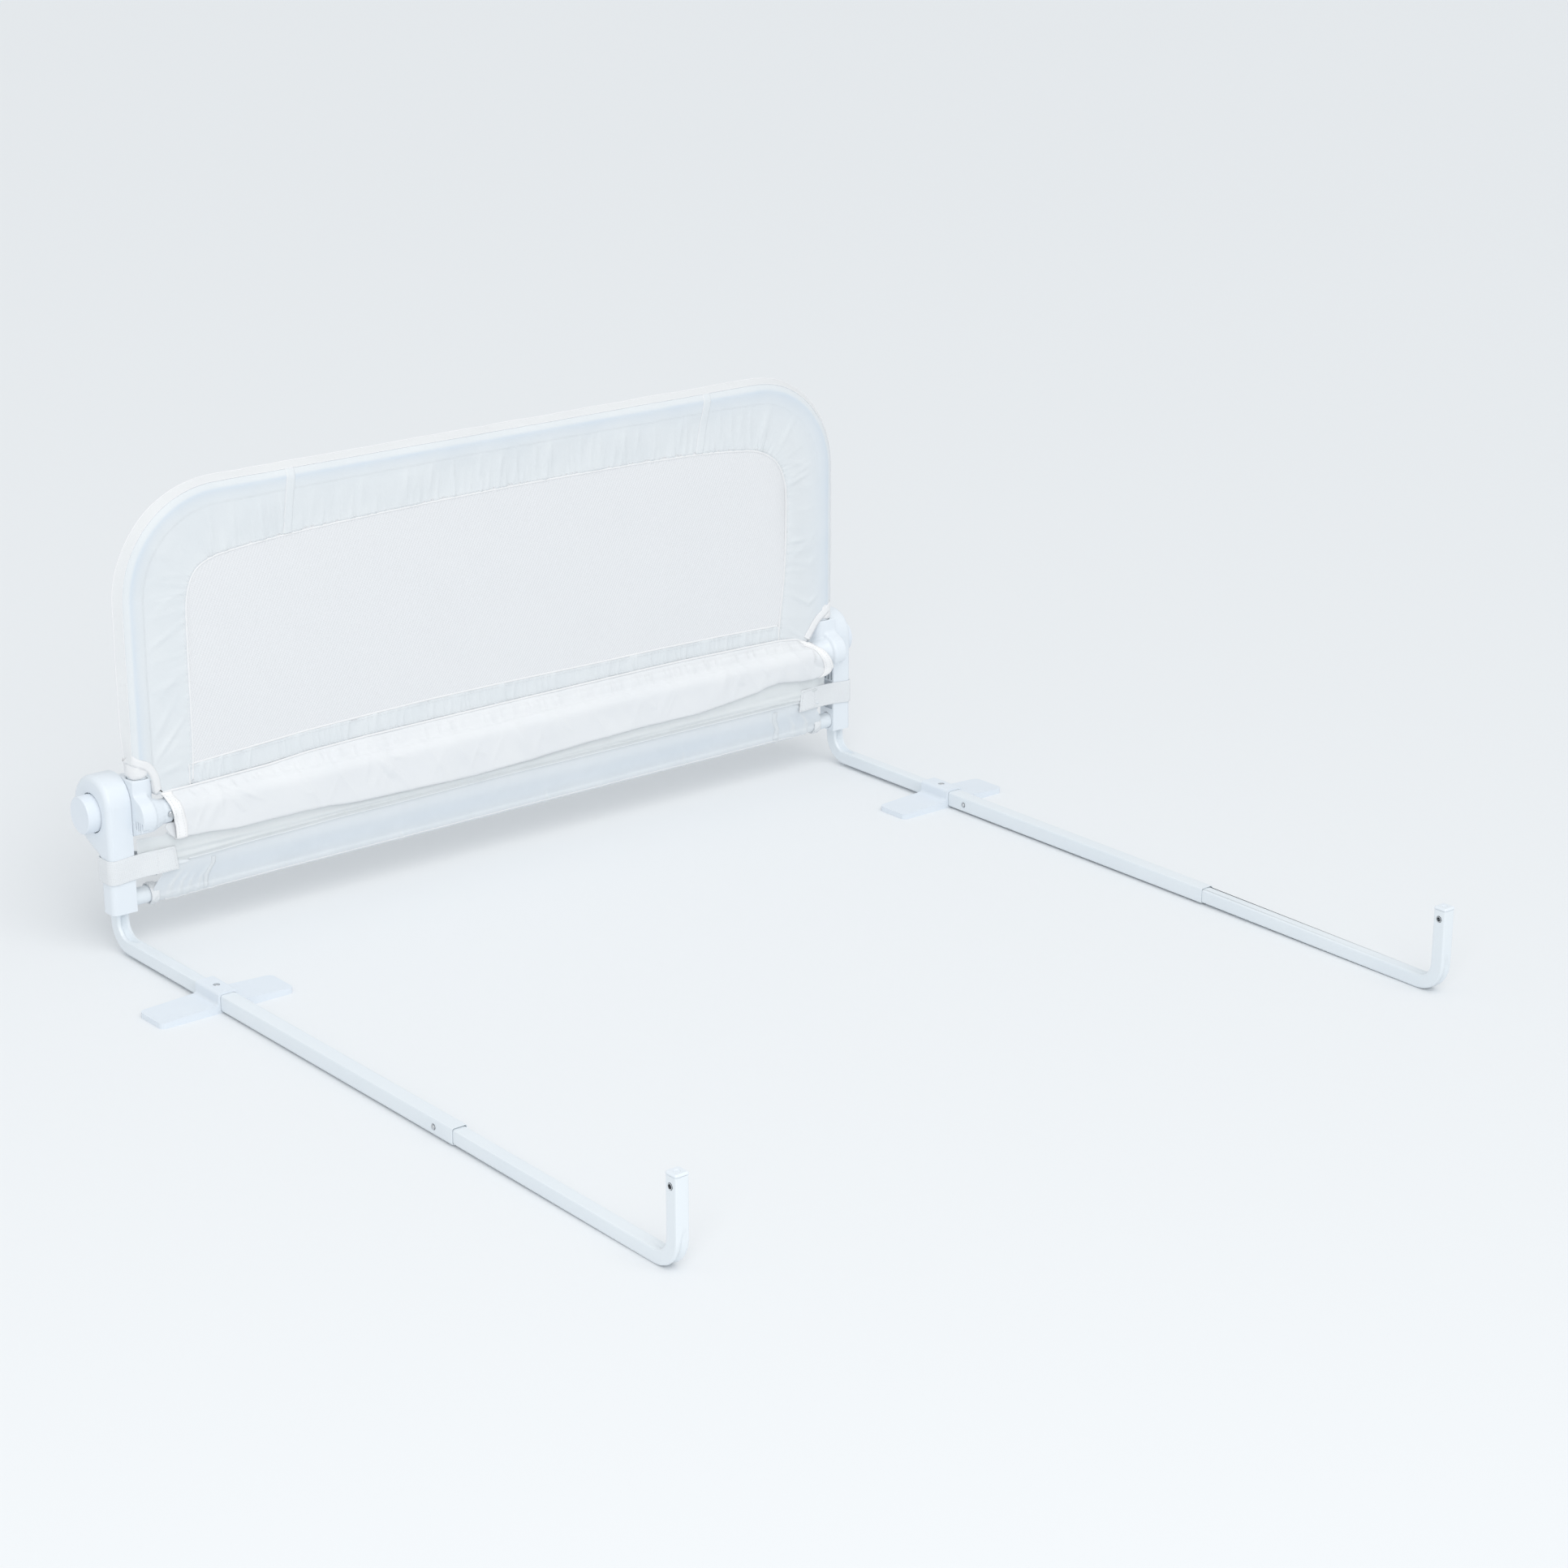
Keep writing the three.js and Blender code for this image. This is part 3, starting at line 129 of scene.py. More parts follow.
# %% Finish: one material and its nodes
class Finish:
    """A material on a Principled surface, with constants set on its own sockets."""

    def __init__(self, name, **constants):
        self.material = bpy.data.materials.new(name)
        self.material.use_nodes = True
        self.tree = self.material.node_tree
        self.tree.nodes.clear()
        output = self.tree.nodes.new("ShaderNodeOutputMaterial")
        self.surface = self.tree.nodes.new("ShaderNodeBsdfPrincipled")
        self.tree.links.new(self.surface.outputs["BSDF"], output.inputs["Surface"])
        for socket, value in constants.items():
            self.surface.inputs[socket.replace("_", " ")].default_value = value

    def node(self, kind, settings=None, inputs=None, output=None):
        made = self.tree.nodes.new(kind)
        for name, value in (settings or {}).items():
            setattr(made, name, value)
        for name, value in (inputs or {}).items():
            socket = next(s for s in made.inputs if s.enabled and name in (s.identifier, s.name))
            if isinstance(value, Wire):
                self.tree.links.new(value.socket, socket)
            else:
                socket.default_value = value
        matching = (s for s in made.outputs if s.enabled and output in (None, s.identifier))
        return Wire(self, next(matching))

    def feed(self, socket, value):
        self.tree.links.new(value.socket, self.surface.inputs[socket])

    def place(self):
        return self.node("ShaderNodeTexCoord", output="Object")

    def weave_place(self):
        return self.node("ShaderNodeAttribute", {"attribute_name": "weave"}, output="Vector")

    def parts(self, place):
        split = self.node("ShaderNodeSeparateXYZ", inputs={"Vector": place}).socket.node
        return [Wire(self, split.outputs[name]) for name in ("X", "Y")]

    def cloud(self, place, size, detail=2.0, roughness=0.5):
        inputs = {"Vector": place, "Scale": 1 / size, "Detail": detail, "Roughness": roughness}
        return self.node("ShaderNodeTexNoise", inputs=inputs, output="Fac")

    def stretched(self, place, along):
        inputs = {"Vector": place, "Vector_001": along}
        return self.node("ShaderNodeVectorMath", {"operation": "MULTIPLY"}, inputs)

    def mixed(self, factor, first, second):
        first, second = (c if isinstance(c, Wire) else (*c, 1) for c in (first, second))
        inputs = {"Factor_Float": factor, "A_Color": first, "B_Color": second}
        return self.node("ShaderNodeMix", {"data_type": "RGBA"}, inputs, "Result_Color")

    def bump(self, height, depth, below=None):
        inputs = {"Height": height, "Strength": 1.0, "Distance": depth}
        if below:
            inputs["Normal"] = below
        return self.node("ShaderNodeBump", inputs=inputs)


# %% [markdown]
# The plastic is a pale blue polypropylene. A real moulding is never one flat colour: it drifts a
# little from gate to rim, the mould leaves a fine grain, and handling polishes patches of it.
# Those three are a wide noise in the colour, a fine noise in the bump and a middle one in the
# roughness.

# %% Moulded plastic
def moulded(name, colour, deep, gloss):
    finish = Finish(name, Coat_Weight=0.06, Specular_IOR_Level=0.42)
    place = finish.place()
    drift = finish.cloud(place, 0.09, 3)
    speck = finish.cloud(place, 0.0016, 2)
    rub = finish.cloud(place, 0.024, 4, 0.6)
    grain = finish.cloud(place, 0.0009, 3, 0.6)
    wave = finish.cloud(place, 0.03, 1)
    tone = drift.within(0.3, 0.75) * 0.75 + speck * 0.25
    finish.feed("Base Color", finish.mixed(tone, colour, deep))
    finish.feed("Roughness", rub.within(0.25, 0.8) * 0.14 + (gloss - 0.06))
    finish.feed("Normal", finish.bump(grain, 0.00002, finish.bump(wave, 0.00025)))
    return finish


pale_moulding = moulded("pale_blue_moulding", (0.80, 0.85, 0.90), (0.775, 0.83, 0.885), 0.36)
button_moulding = moulded("button_moulding", (0.80, 0.85, 0.91), (0.77, 0.83, 0.895), 0.33)
foot_moulding = moulded("foot_moulding", (0.775, 0.83, 0.89), (0.75, 0.81, 0.875), 0.40)
print("mouldings:", [f.material.name for f in (pale_moulding, button_moulding, foot_moulding)])

# %% [markdown]
# The tubes are steel under a sprayed enamel. Enamel flows before it dries and leaves faint waves,
# known as orange peel, so the bump is wide and shallow and the coat above is smooth. Rubbing
# along the tube dulls the paint a little in long streaks.

# %% Enamelled tube
enamel = Finish("pale_enamel", Coat_Weight=0.25, Coat_Roughness=0.12, Specular_IOR_Level=0.5)
place = enamel.place()
drift = enamel.cloud(place, 0.14, 2)
rub = enamel.cloud(enamel.stretched(place, (1.0, 0.08, 1.0)), 0.004, 3, 0.6)
peel = enamel.cloud(place, 0.011, 1, 0.4)
tone = enamel.mixed(drift.within(0.3, 0.7), (0.80, 0.85, 0.89), (0.775, 0.83, 0.875))
enamel.feed("Base Color", tone)
enamel.feed("Roughness", rub.within(0.35, 0.85) * 0.08 + 0.30)
enamel.feed("Normal", enamel.bump(peel, 0.00005))
print("enamel:", enamel.material.name)

# %% [markdown]
# The small fasteners are bright zinc plate: metal with a fine turned grain and a slightly mottled
# shine. The grain is a noise squeezed along one direction.

# %% Zinc-plated steel
steel = Finish("zinc_plated_steel", Metallic=1.0)
place = steel.place()
mottle = steel.cloud(place, 0.0022, 3)
turned = steel.cloud(steel.stretched(place, (1, 1, 8)), 0.0008, 2)
steel.feed("Base Color", steel.mixed(mottle, (0.50, 0.52, 0.54), (0.66, 0.68, 0.70)))
steel.feed("Roughness", mottle * 0.18 + 0.24)
steel.feed("Normal", steel.bump(turned, 0.00004))
print("plating:", steel.material.name)

# %% [markdown]
# Every cloth here is woven polyester. Its threads run in two directions that the mesh remembers
# in a `weave` attribute, in metres along and across the cloth, so the weave follows each bend of
# a sleeve. Two sine waves make the threads, and a noise stretched along each direction makes some
# threads thicker than others. Sheen gives the soft bright rim of a brushed cloth. The cloth is
# thin, and where it lies on a tube the blue enamel shows through. A piece may carry a
# `tube_show_and_shade` attribute from 0 to 1 that tints it towards a blue darker than the enamel,
# so the tint is partly the enamel seen through the cloth and partly painted shade.

# %% Woven cloth
# Darker than the enamel itself: the tint is partly enamel seen through the cloth, partly painted
# shade.
ENAMEL_AND_SHADE_TINT = (0.62, 0.705, 0.80)


def woven(name, colour, shade, pitch, depth=0.00012, sheen=0.25):
    finish = Finish(name, Sheen_Weight=sheen, Sheen_Roughness=0.4)
    place = finish.weave_place()
    along, across = finish.parts(place)
    turn = 2 * math.pi / pitch
    warp = (along * turn).sine() * 0.5 + 0.5
    weft = (across * turn).sine() * 0.5 + 0.5
    slubs = finish.cloud(finish.stretched(place, (1, 9, 1)), pitch * 6, 2)
    streaks = finish.cloud(finish.stretched(place, (9, 1, 1)), pitch * 6, 2)
    wash = finish.cloud(finish.place(), 0.06, 3)
    threads = warp * weft * 0.6 + slubs * 0.2 + streaks * 0.2
    tone = finish.mixed(threads * 0.55 + wash.within(0.3, 0.75) * 0.45, shade, colour)
    # Painted shade: this tint darkens the cloth where the attribute says, besides showing the
    # enamel.
    tube_and_shade = finish.node("ShaderNodeAttribute", {"attribute_name": "tube_show_and_shade"}, output="Fac")
    finish.feed("Base Color", finish.mixed(tube_and_shade * 0.7, tone, ENAMEL_AND_SHADE_TINT))
    finish.feed("Roughness", slubs * 0.14 + 0.66)
    finish.feed("Normal", finish.bump(threads, depth))
    return finish


border_cloth = woven("border_cloth", (0.79, 0.82, 0.84), (0.73, 0.77, 0.80), 0.0011)
wrap_cloth = woven("wrap_cloth", (0.83, 0.845, 0.86), (0.785, 0.805, 0.83), 0.0009, 0.0001)
tape_cloth = woven("binding_tape", (0.87, 0.875, 0.885), (0.82, 0.83, 0.845), 0.0014, 0.00018)
white_tape = woven("white_binding_tape", (0.95, 0.95, 0.955), (0.92, 0.92, 0.925), 0.0014, 0.00018)
fin_cloth = woven("thin_fin_tape", (0.805, 0.82, 0.83), (0.765, 0.78, 0.795), 0.0013, 0.00016)
webbing = woven("hook_and_loop_webbing", (0.83, 0.85, 0.865), (0.765, 0.79, 0.815), 0.0021, 0.0003)
thread = woven("sewing_thread", (0.86, 0.87, 0.88), (0.80, 0.815, 0.835), 0.0006, 0.0001)

# %% [markdown]
# The net of the window is a fine knitted mesh. From the room it reads as a pale veil with
# slanting ribs. Its holes are far smaller than a pixel, so they are an alpha that dips between
# the ribs rather than modelled gaps, and two slanted sine waves draw the ribs.

# %% Knitted net
RIB_PITCH = 0.0039
net = Finish("knitted_net", Sheen_Weight=0.2, Roughness=0.8)
place = net.weave_place()
along, across = net.parts(place)
turn = 2 * math.pi / RIB_PITCH
rib = ((along - across) * turn).sine() * 0.5 + 0.5
cross_rib = ((along + across * 0.9) * turn).sine() * 0.5 + 0.5
fine = ((along + across) * (turn * 1.9)).sine() * 0.5 + 0.5
knit = rib * 0.55 + cross_rib * 0.2 + fine * 0.25
tone = knit * 0.8 + net.cloud(place, 0.05, 2) * 0.2
net.feed("Base Color", net.mixed(tone, (0.74, 0.76, 0.785), (0.84, 0.845, 0.865)))
net.feed("Alpha", knit * 0.10 + 0.80)
net.feed("Normal", net.bump(knit, 0.0003))

# %% [markdown]
# The skirt is sheer: a thin voile through which the lower tube and the floor glow. It needs the
# same threads as the other cloths and an alpha a little below one, which a wide noise raises and
# lowers in patches.

# %% Sheer voile
def voile(name, colour, shade, clear):
    finish = woven(name, colour, shade, 0.0011, 0.00008, 0.3)
    crowd = finish.cloud(finish.place(), 0.03, 2)
    finish.feed("Alpha", crowd * (1 - clear) * 0.5 + (clear + 0.1))
    return finish


upper_voile = voile("upper_voile", (0.765, 0.795, 0.81), (0.73, 0.765, 0.78), 0.76)
lower_voile = voile("lower_voile", (0.78, 0.81, 0.835), (0.745, 0.785, 0.815), 0.84)
print("cloths:", [f.material.name for f in (border_cloth, wrap_cloth, tape_cloth, webbing, net)])

# %% [markdown]
# The hard parts come from CAD with crisp, faceted edges. A moulding or a bent tube has a small
# round on every edge, and that round is what catches the light. Their meshes aren't touched:
# modifiers close the seams of the import, clear the flat facets, round what is still sharp, and
# weight the normals so that flats stay flat.

# %% Dress a CAD part
FLAT_WITHIN, SHARP_FROM = math.radians(1.2), math.radians(32)


def modify(part, name, kind, **settings):
    added = part.modifiers.new(name, kind)
    for setting, value in settings.items():
        setattr(added, setting, value)


def dress(node, finish, edge):
    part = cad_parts[node]
    for holder in part.material_slots:
        holder.material = finish.material
    part.data.polygons.foreach_set("use_smooth", [True] * len(part.data.polygons))
    modify(part, "weld", "WELD", merge_threshold=0.00001)
    modify(part, "flats", "DECIMATE", decimate_type="DISSOLVE", angle_limit=FLAT_WITHIN)
    if edge:
        modify(part, "soft_edges", "BEVEL", width=edge / 1000, segments=2, limit_method="ANGLE",
               angle_limit=SHARP_FROM, use_clamp_overlap=True)
    modify(part, "weighted_normals", "WEIGHTED_NORMAL", keep_sharp=False)


hard_parts = {
    "post": (pale_moulding, 0.9), "knuckle": (pale_moulding, 0.8), "foot": (foot_moulding, 0.9),
    "push_button": (button_moulding, 0.5), "hook_cap": (pale_moulding, 0.35),
    "arm_tube": (enamel, 0.35), "arm_sleeve": (enamel, 0.3), "hook_tube": (enamel, 0.35),
    "pivot_bolt": (steel, 0.2), "pivot_nut": (steel, 0.2), "knuckle_screw": (steel, 0.25),
    "post_screw": (steel, 0.25), "foot_screw": (steel, 0.25), "hook_bush": (steel, 0.15),
    "near_snap_pin": (steel, 0.3), "far_snap_pin": (steel, 0.3),
}
for part_name, (part_finish, edge) in hard_parts.items():
    for side in ("left", "right"):
        dress(f"{side}_{part_name}", part_finish, edge)
for tube_name in ("guard_frame", "middle_tube", "lower_tube"):
    dress(tube_name, enamel, 0.0)
print("dressed", 2 * len(hard_parts) + 3, "CAD parts")

# %% [markdown]
# In a real knuckle the collar, the boss and the disc flow into each other, because they fill one
# mould. Here a voxel remesh makes them one skin and a smoothing pass rounds the creases between
# them.

# %% Moulded knuckles
for side in ("left", "right"):
    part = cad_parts[f"{side}_knuckle"]
    for name in ("flats", "soft_edges"):
        part.modifiers.remove(part.modifiers[name])
    modify(part, "one_skin", "REMESH", mode="VOXEL", voxel_size=0.7 / 1000, use_smooth_shade=True)
    modify(part, "flow", "SMOOTH", factor=0.5, iterations=14)
    part.modifiers.move(part.modifiers.find("weighted_normals"), len(part.modifiers) - 1)
    print(part.name, "has", [modifier.name for modifier in part.modifiers])

# %% [markdown]
# The cloth is drawn in millimetres from the front face of the posts, as on a sewing pattern, and
# only the last step turns it into metres in the frame. The tube that carries the cover is
# measured from the frame itself, so the cloth can't drift off it.

# %% Measures that the cloth follows
POST_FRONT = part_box("left_post")[0].y
BEND = 112.0


def box_in_mm(node):
    """Low and high corner of a CAD part, with y from the front face of the posts."""
    return [(np.array(corner) - [0, POST_FRONT, 0]) * 1000 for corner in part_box(node)]


def middle_of(node):
    """Where the middle of a tube along the rail lies, as y and z."""
    return tuple(sum(box_in_mm(node))[1:] / 2)


frame_low, frame_high = box_in_mm("guard_frame")
TUBE = (frame_high[1] - frame_low[1]) / 2
TUBE_BACK = frame_low[1] + TUBE
LEG, _, TOP = frame_high - TUBE
KNEE = TOP - BEND
MIDDLE = middle_of("middle_tube")
LOWER = middle_of("lower_tube")
print("leg", round(LEG, 1), "top", round(TOP, 1), "middle tube", MIDDLE, "lower tube", LOWER)

# %% [markdown]
# A few helpers do most of the sewing. `wander` is a smooth seeded noise for folds and puckers, so
# the cloth is the same each time. `skin` turns rows of points into a cloth with its weave.
# `settle` gives a piece its finish, hides the CAD parts it takes the place of, and lets it ride
# on its body.

# %% Sewing helpers
def wander(along, pitch, seed):
    knots = np.random.default_rng(seed).uniform(-1, 1, 512)
    place = np.asarray(along, float) / pitch + 256
    low = np.floor(place).astype(int)
    part = place - low
    part = part * part * (3 - 2 * part)
    return knots[low % 512] * (1 - part) + knots[(low + 1) % 512] * part


def bell(value, middle, width):
    return np.exp(-(((np.asarray(value, float) - middle) / width) ** 2))


def steps_along(points):
    lengths = np.linalg.norm(np.diff(points, axis=-2), axis=-1)
    start = np.zeros(lengths.shape[:-1] + (1,))
    return np.concatenate([start, np.cumsum(lengths, axis=-1)], axis=-1)


def sewn_object(name, points, faces, weave):
    mesh = bpy.data.meshes.new(name)
    mesh.from_pydata((np.asarray(points) / 1000 + [0, POST_FRONT, 0]).tolist(), [], faces)
    mesh.attributes.new("weave", "FLOAT_VECTOR", "POINT").data.foreach_set("vector", weave.ravel())
    mesh.polygons.foreach_set("use_smooth", [True] * len(mesh.polygons))
    mesh.validate()
    return add_object(name, mesh)


def skin(name, rows, closed=False, capped=False):
    rows = np.asarray(rows, float)
    stations, count, _ = rows.shape
    wide = steps_along(rows)
    long = steps_along(rows.transpose(1, 0, 2)).T
    weave = np.stack([long, wide, np.zeros_like(wide)], axis=-1) / 1000
    faces = [(i * count + j, i * count + (j + 1) % count,
              (i + 1) * count + (j + 1) % count, (i + 1) * count + j)
             for i in range(stations - 1) for j in range(count if closed else count - 1)]
    if capped:
        faces.append(tuple(reversed(range(count))))
        faces.append(tuple((stations - 1) * count + j for j in range(count)))
    return sewn_object(name, rows.reshape(-1, 3), faces, weave)


def let_tube_show_and_shade(piece, amounts):
    """Stores at each point how far the tube shows through, together with painted shade."""
    tube_and_shade = piece.data.attributes.new("tube_show_and_shade", "FLOAT", "POINT")
    tube_and_shade.data.foreach_set("value", np.asarray(amounts, np.float32).ravel())


def thicken(piece, thickness):
    modify(piece, "thickness", "SOLIDIFY", thickness=thickness / 1000, offset=0.0)
    return piece


def settle(piece, finish, slot, body, *nodes):
    piece.data.materials.append(finish.material)
    if nodes:
        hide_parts(*nodes)
    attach(piece, body)
    print(piece.name, "has", len(piece.data.vertices), "points and rides on", body)


def on_guard(piece, finish, *nodes):
    settle(piece, finish, "border_cloth", "guard", *nodes)


# %% [markdown]
# Piping and stitches follow a line on the cloth. `piping` sweeps a small round along a line.
# `stitches` lays short capsules of thread end to end with gaps between them, as a lockstitch
# shows on the face of a cloth, each one sunk at its ends by tapering.

# %% Piping and stitches
def directions(line):
    run = np.gradient(line, axis=0)
    return run / (np.linalg.norm(run, axis=1, keepdims=True) + 1e-12)


def rounds(path, sides):
    """A line's points and directions, and a round of unit vectors across it at each point."""
    path = np.asarray(path, float)
    run = directions(path)
    up = np.tile([0.0, -1.0, 0.0], (len(path), 1))
    up[np.abs(run[:, 1]) > 0.9] = [0, 0, 1]
    side = np.cross(run, up)
    side /= np.linalg.norm(side, axis=1, keepdims=True)
    angles = np.linspace(0, 2 * np.pi, sides, endpoint=False)[None, :, None]
    ring = np.cos(angles) * side[:, None] + np.sin(angles) * np.cross(side, run)[:, None]
    return path, run, ring


def piping(name, path, radius):
    path, _, ring = rounds(path, 8)
    return skin(name, path[:, None] + ring * radius, closed=True, capped=True)


def spread(line, count):
    """The same line with a number of points at even steps."""
    line = np.asarray(line, float)
    run = steps_along(line)
    wanted = np.linspace(0, run[-1], count)
    return np.stack([np.interp(wanted, run, column) for column in line.T], axis=1)


def evenly(path, pitch):
    return spread(path, max(int(steps_along(path)[-1] / pitch), 2) + 1)


def stitches(name, path, pitch=4.2, length=2.9, radius=0.42):
    path, run, ring = rounds(evenly(path, pitch), 6)
    levels = [path[:, None] + (run * length * shift)[:, None] + ring * radius * share
              for shift, share in ((-0.5, 0.3), (-0.3, 1), (0.3, 1), (0.5, 0.3))]
    points = np.stack(levels, axis=1).reshape(-1, 3)
    faces = []
    for first in range(0, len(points), 24):
        for low in (first, first + 6, first + 12):
            faces += [(low + j, low + k, low + 6 + k, low + 6 + j)
                      for j, k in zip(range(6), (1, 2, 3, 4, 5, 0))]
        faces += [tuple(reversed(range(first, first + 6))), tuple(range(first + 18, first + 24))]
    return sewn_object(name, points, faces, points[:, [0, 2, 1]] / 1000)


def on_circle(middle, radius, degrees_):
    angle = math.radians(degrees_)
    return (middle[0] + radius * math.cos(angle), middle[1] + radius * math.sin(angle))


# %% [markdown]
# ## The cover
# The cover is a long sleeve of cloth over the bent tube, stitched beside the tube and running on
# as a flat double border to the window. A simulation would only blur the seams, so the section of
# the sleeve is drawn once and swept along the tube. At each place it reaches in as far as the
# window's real outline, which pulls in towards its lower corners.

# %% Outlines of the cover
window_outline = np.array([
    (-433, 203), (-429.5, 214), (-427, 240), (-426.4, 310), (-426.2, 372), (-424.5, 395),
    (-419, 414), (-411, 426), (-400, 433), (-385, 437.5), (-370, 440), (-291, 446.5), (-150, 450.5),
    (-20, 452), (150, 451), (292, 447.5), (362, 441), (383, 437.5), (400, 430.5), (414, 421),
    (424, 407), (430.5, 388), (432, 370), (430.5, 297), (423, 245), (418, 206)])
window_sill = np.array([
    (-433, 202), (-427, 202.5), (-360, 206), (-277, 210.5), (-194, 212.2), (-109, 213.6), (0, 213),
    (139, 210.8), (232, 210.2), (328, 208), (385, 206), (418, 204.5)])
lower_edge = np.array([
    (-514, 231), (-511, 222.5), (-505, 217), (-499, 214.5), (-491, 211), (-485.5, 204),
    (-481.8, 195), (-480.9, 182), (-478, 178.6), (-440, 179), (-400, 180), (-332, 182),
    (-278, 186.5), (-200, 188.5), (0, 189.5), (200, 190), (264, 189.6), (360, 187.4), (416, 186),
    (443, 183), (458, 179), (466, 178), (472, 186), (479, 196), (486, 203), (493, 207.5),
    (500, 212), (506, 216), (514, 222)])


def sill(x):
    return np.interp(x, *window_sill.T)


def hem(x):
    return np.interp(x, *lower_edge.T)


def rounded(outline, passes=2):
    points = np.asarray(outline, float)
    for _ in range(passes):
        near = points[:-1] * 0.75 + points[1:] * 0.25
        far = points[:-1] * 0.25 + points[1:] * 0.75
        middle = np.stack([near, far], axis=1).reshape(-1, points.shape[1])
        points = np.concatenate([points[:1], middle, points[-1:]])
    return points


window_line = rounded(window_outline)
print("window outline has", len(window_line), "points")

# %% [markdown]
# Each station along the tube has a middle, a direction that points out of the panel, and a reach:
# how far the cloth goes in to meet the window. The reach comes from a ray that is cast from the
# tube to the window's outline.

# %% Stations along the tube
LEG_STEPS, TURN_STEPS, TOP_STEPS = 130, 80, 520
WINDOW_LEFT, WINDOW_RIGHT = -433, 418


def reach_from(x, z, out_x, out_z):
    first, edge = window_line[:-1], np.diff(window_line, axis=0)
    across = out_z * edge[:, 0] - out_x * edge[:, 1]
    across = np.where(np.abs(across) < 1e-9, 1e-9, across)
    gap = first - [x, z]
    reach = (gap[:, 1] * edge[:, 0] - gap[:, 0] * edge[:, 1]) / -across
    place = (out_x * gap[:, 1] - out_z * gap[:, 0]) / across
    hit = (place >= -1e-6) & (place <= 1 + 1e-6) & (reach > 20) & (reach < 150)
    if hit.any():
        return reach[hit].min()
    return LEG + WINDOW_LEFT if x < 0 else LEG - WINDOW_RIGHT


def tube_stations():
    run = LEG - BEND
    legs = [[(side * LEG, z, float(side), 0.0)
             for z in np.linspace(hem(side * LEG), KNEE, LEG_STEPS)] for side in (-1, 1)]
    turn = [(-run - BEND * math.cos(a), KNEE + BEND * math.sin(a), -math.cos(a), math.sin(a))
            for a in np.linspace(0, math.pi / 2, TURN_STEPS)[1:]]
    top = [(x, TOP, 0.0, 1.0) for x in np.linspace(-run, run, TOP_STEPS)[1:-1]]
    mirrored = [(-x, z, -a, b) for x, z, a, b in reversed(turn)]
    return np.array(legs[0] + turn + top + mirrored + legs[1][::-1])


stations = tube_stations()
travel = steps_along(stations[:, :2])
reaches = np.array([reach_from(*station) for station in stations])
print(len(stations), "stations, reach", reaches.min().round(1), "to", reaches.max().round(1), "mm")

# %% [markdown]
# The section is a teardrop: the front cloth runs taut from the window's seam onto the tube,
# leaves it again on the outside and meets the back cloth in a flat bound fin. It is a list of
# points, so each part of it can be pushed about by itself when the list is swept along the tube.

# %% Section of the cover
SLEEVE, FIN = 13.3, 17.0
FLAT_FRONT, FLAT_BACK = 1.0, 3.0
SEAM_DEPTH = 1.5
TOUCH, FIN_START, LEAVE = 97, 34, 118
FRONT_POINTS = 40


def on_sleeve(degrees_):
    return on_circle((0, TUBE_BACK), SLEEVE, -degrees_)


def cover_section(reach, fin):
    """Points (out, depth) from the window's seam over the front and round to the back."""
    touch, half = on_sleeve(TOUCH), (SLEEVE * 0.83 + fin) / 2
    points = [(-reach + (touch[0] + reach) * t, FLAT_FRONT + (touch[1] - FLAT_FRONT) * t ** 1.25)
              for t in np.linspace(0, 1, 27)[:-1]]
    points[0] = (-reach, FLAT_FRONT + 0.3)
    points += [on_sleeve(angle) for angle in np.linspace(TOUCH, FIN_START, 12)]
    points += [(half, TUBE_BACK - 3.4), (fin - 0.9, TUBE_BACK - 1.0), (fin, TUBE_BACK),
               (fin - 0.9, TUBE_BACK + 1.0), (half, TUBE_BACK + 3.4)]
    points += [on_sleeve(angle) for angle in np.linspace(-FIN_START, -LEAVE, 11)]
    points += [(u, FLAT_BACK + up) for u, up in ((-14, 11.5), (-21, 6.4), (-28, 2.6), (-35, 0.8))]
    points += [(u, FLAT_BACK) for u in np.linspace(-41, 1.6 - reach, 7)]
    return np.array(points + [(-reach, SEAM_DEPTH + 0.2)])


print("section of", len(cover_section(70, FIN)), "points")

# %% [markdown]
# The cloth is a little longer than its seams, so puckers of many lengths stand off the window's
# seam, mostly along the top, a few creases cross the sides, and some fan out of the corners. They
# fade where the tube pulls the cloth tight. Each sum below is one kind of pucker with its own
# pitch.

# %% Puckers and creases of the cover
def crest(along, pitch, seed, sharp=2.5):
    """Narrow ridges at irregular places, from 0 to 1."""
    return (1 - np.abs(wander(along, pitch, seed))) ** sharp


def cloth_slack(along, inside, on_top):
    """How far the border leans forward, in mm, at a distance inside the window's seam."""
    ticks = (crest(along + inside * 0.2, 5.4, 10) - 0.45) * np.exp(-((inside / 6.5) ** 2)) * 1.1
    length = 15 + 9 * wander(along, 13, 17) + 8 * on_top
    puckers = crest(along + inside * 0.1, 7.5, 11) * 1.1
    puckers += crest(along - inside * 0.12, 12, 12) * 1.5
    near = (puckers - 0.85) * np.exp(-((inside / length) ** 2)) * (0.35 + 0.65 * on_top)
    streaks = crest(along + inside * 0.06, 23, 13, 4) - 0.45
    streaks += crest(along - inside * 0.1, 33, 14, 4)
    far = streaks * bell(inside, 30, 24) * (0.3 + 0.7 * on_top) * 1.7
    creases = crest(along + inside * 0.6, 46, 15, 6) + crest(along - inside * 0.75, 58, 16, 6) - 0.3
    across = creases * bell(inside, 26, 22) * 0.9 * (1 - 0.75 * on_top)
    rolling = wander(along, 62, 18) * bell(inside, 28, 22) * 0.9
    corner = 1 - 2.8 * on_top * (1 - on_top)
    return (ticks + near + far + across) * corner + rolling


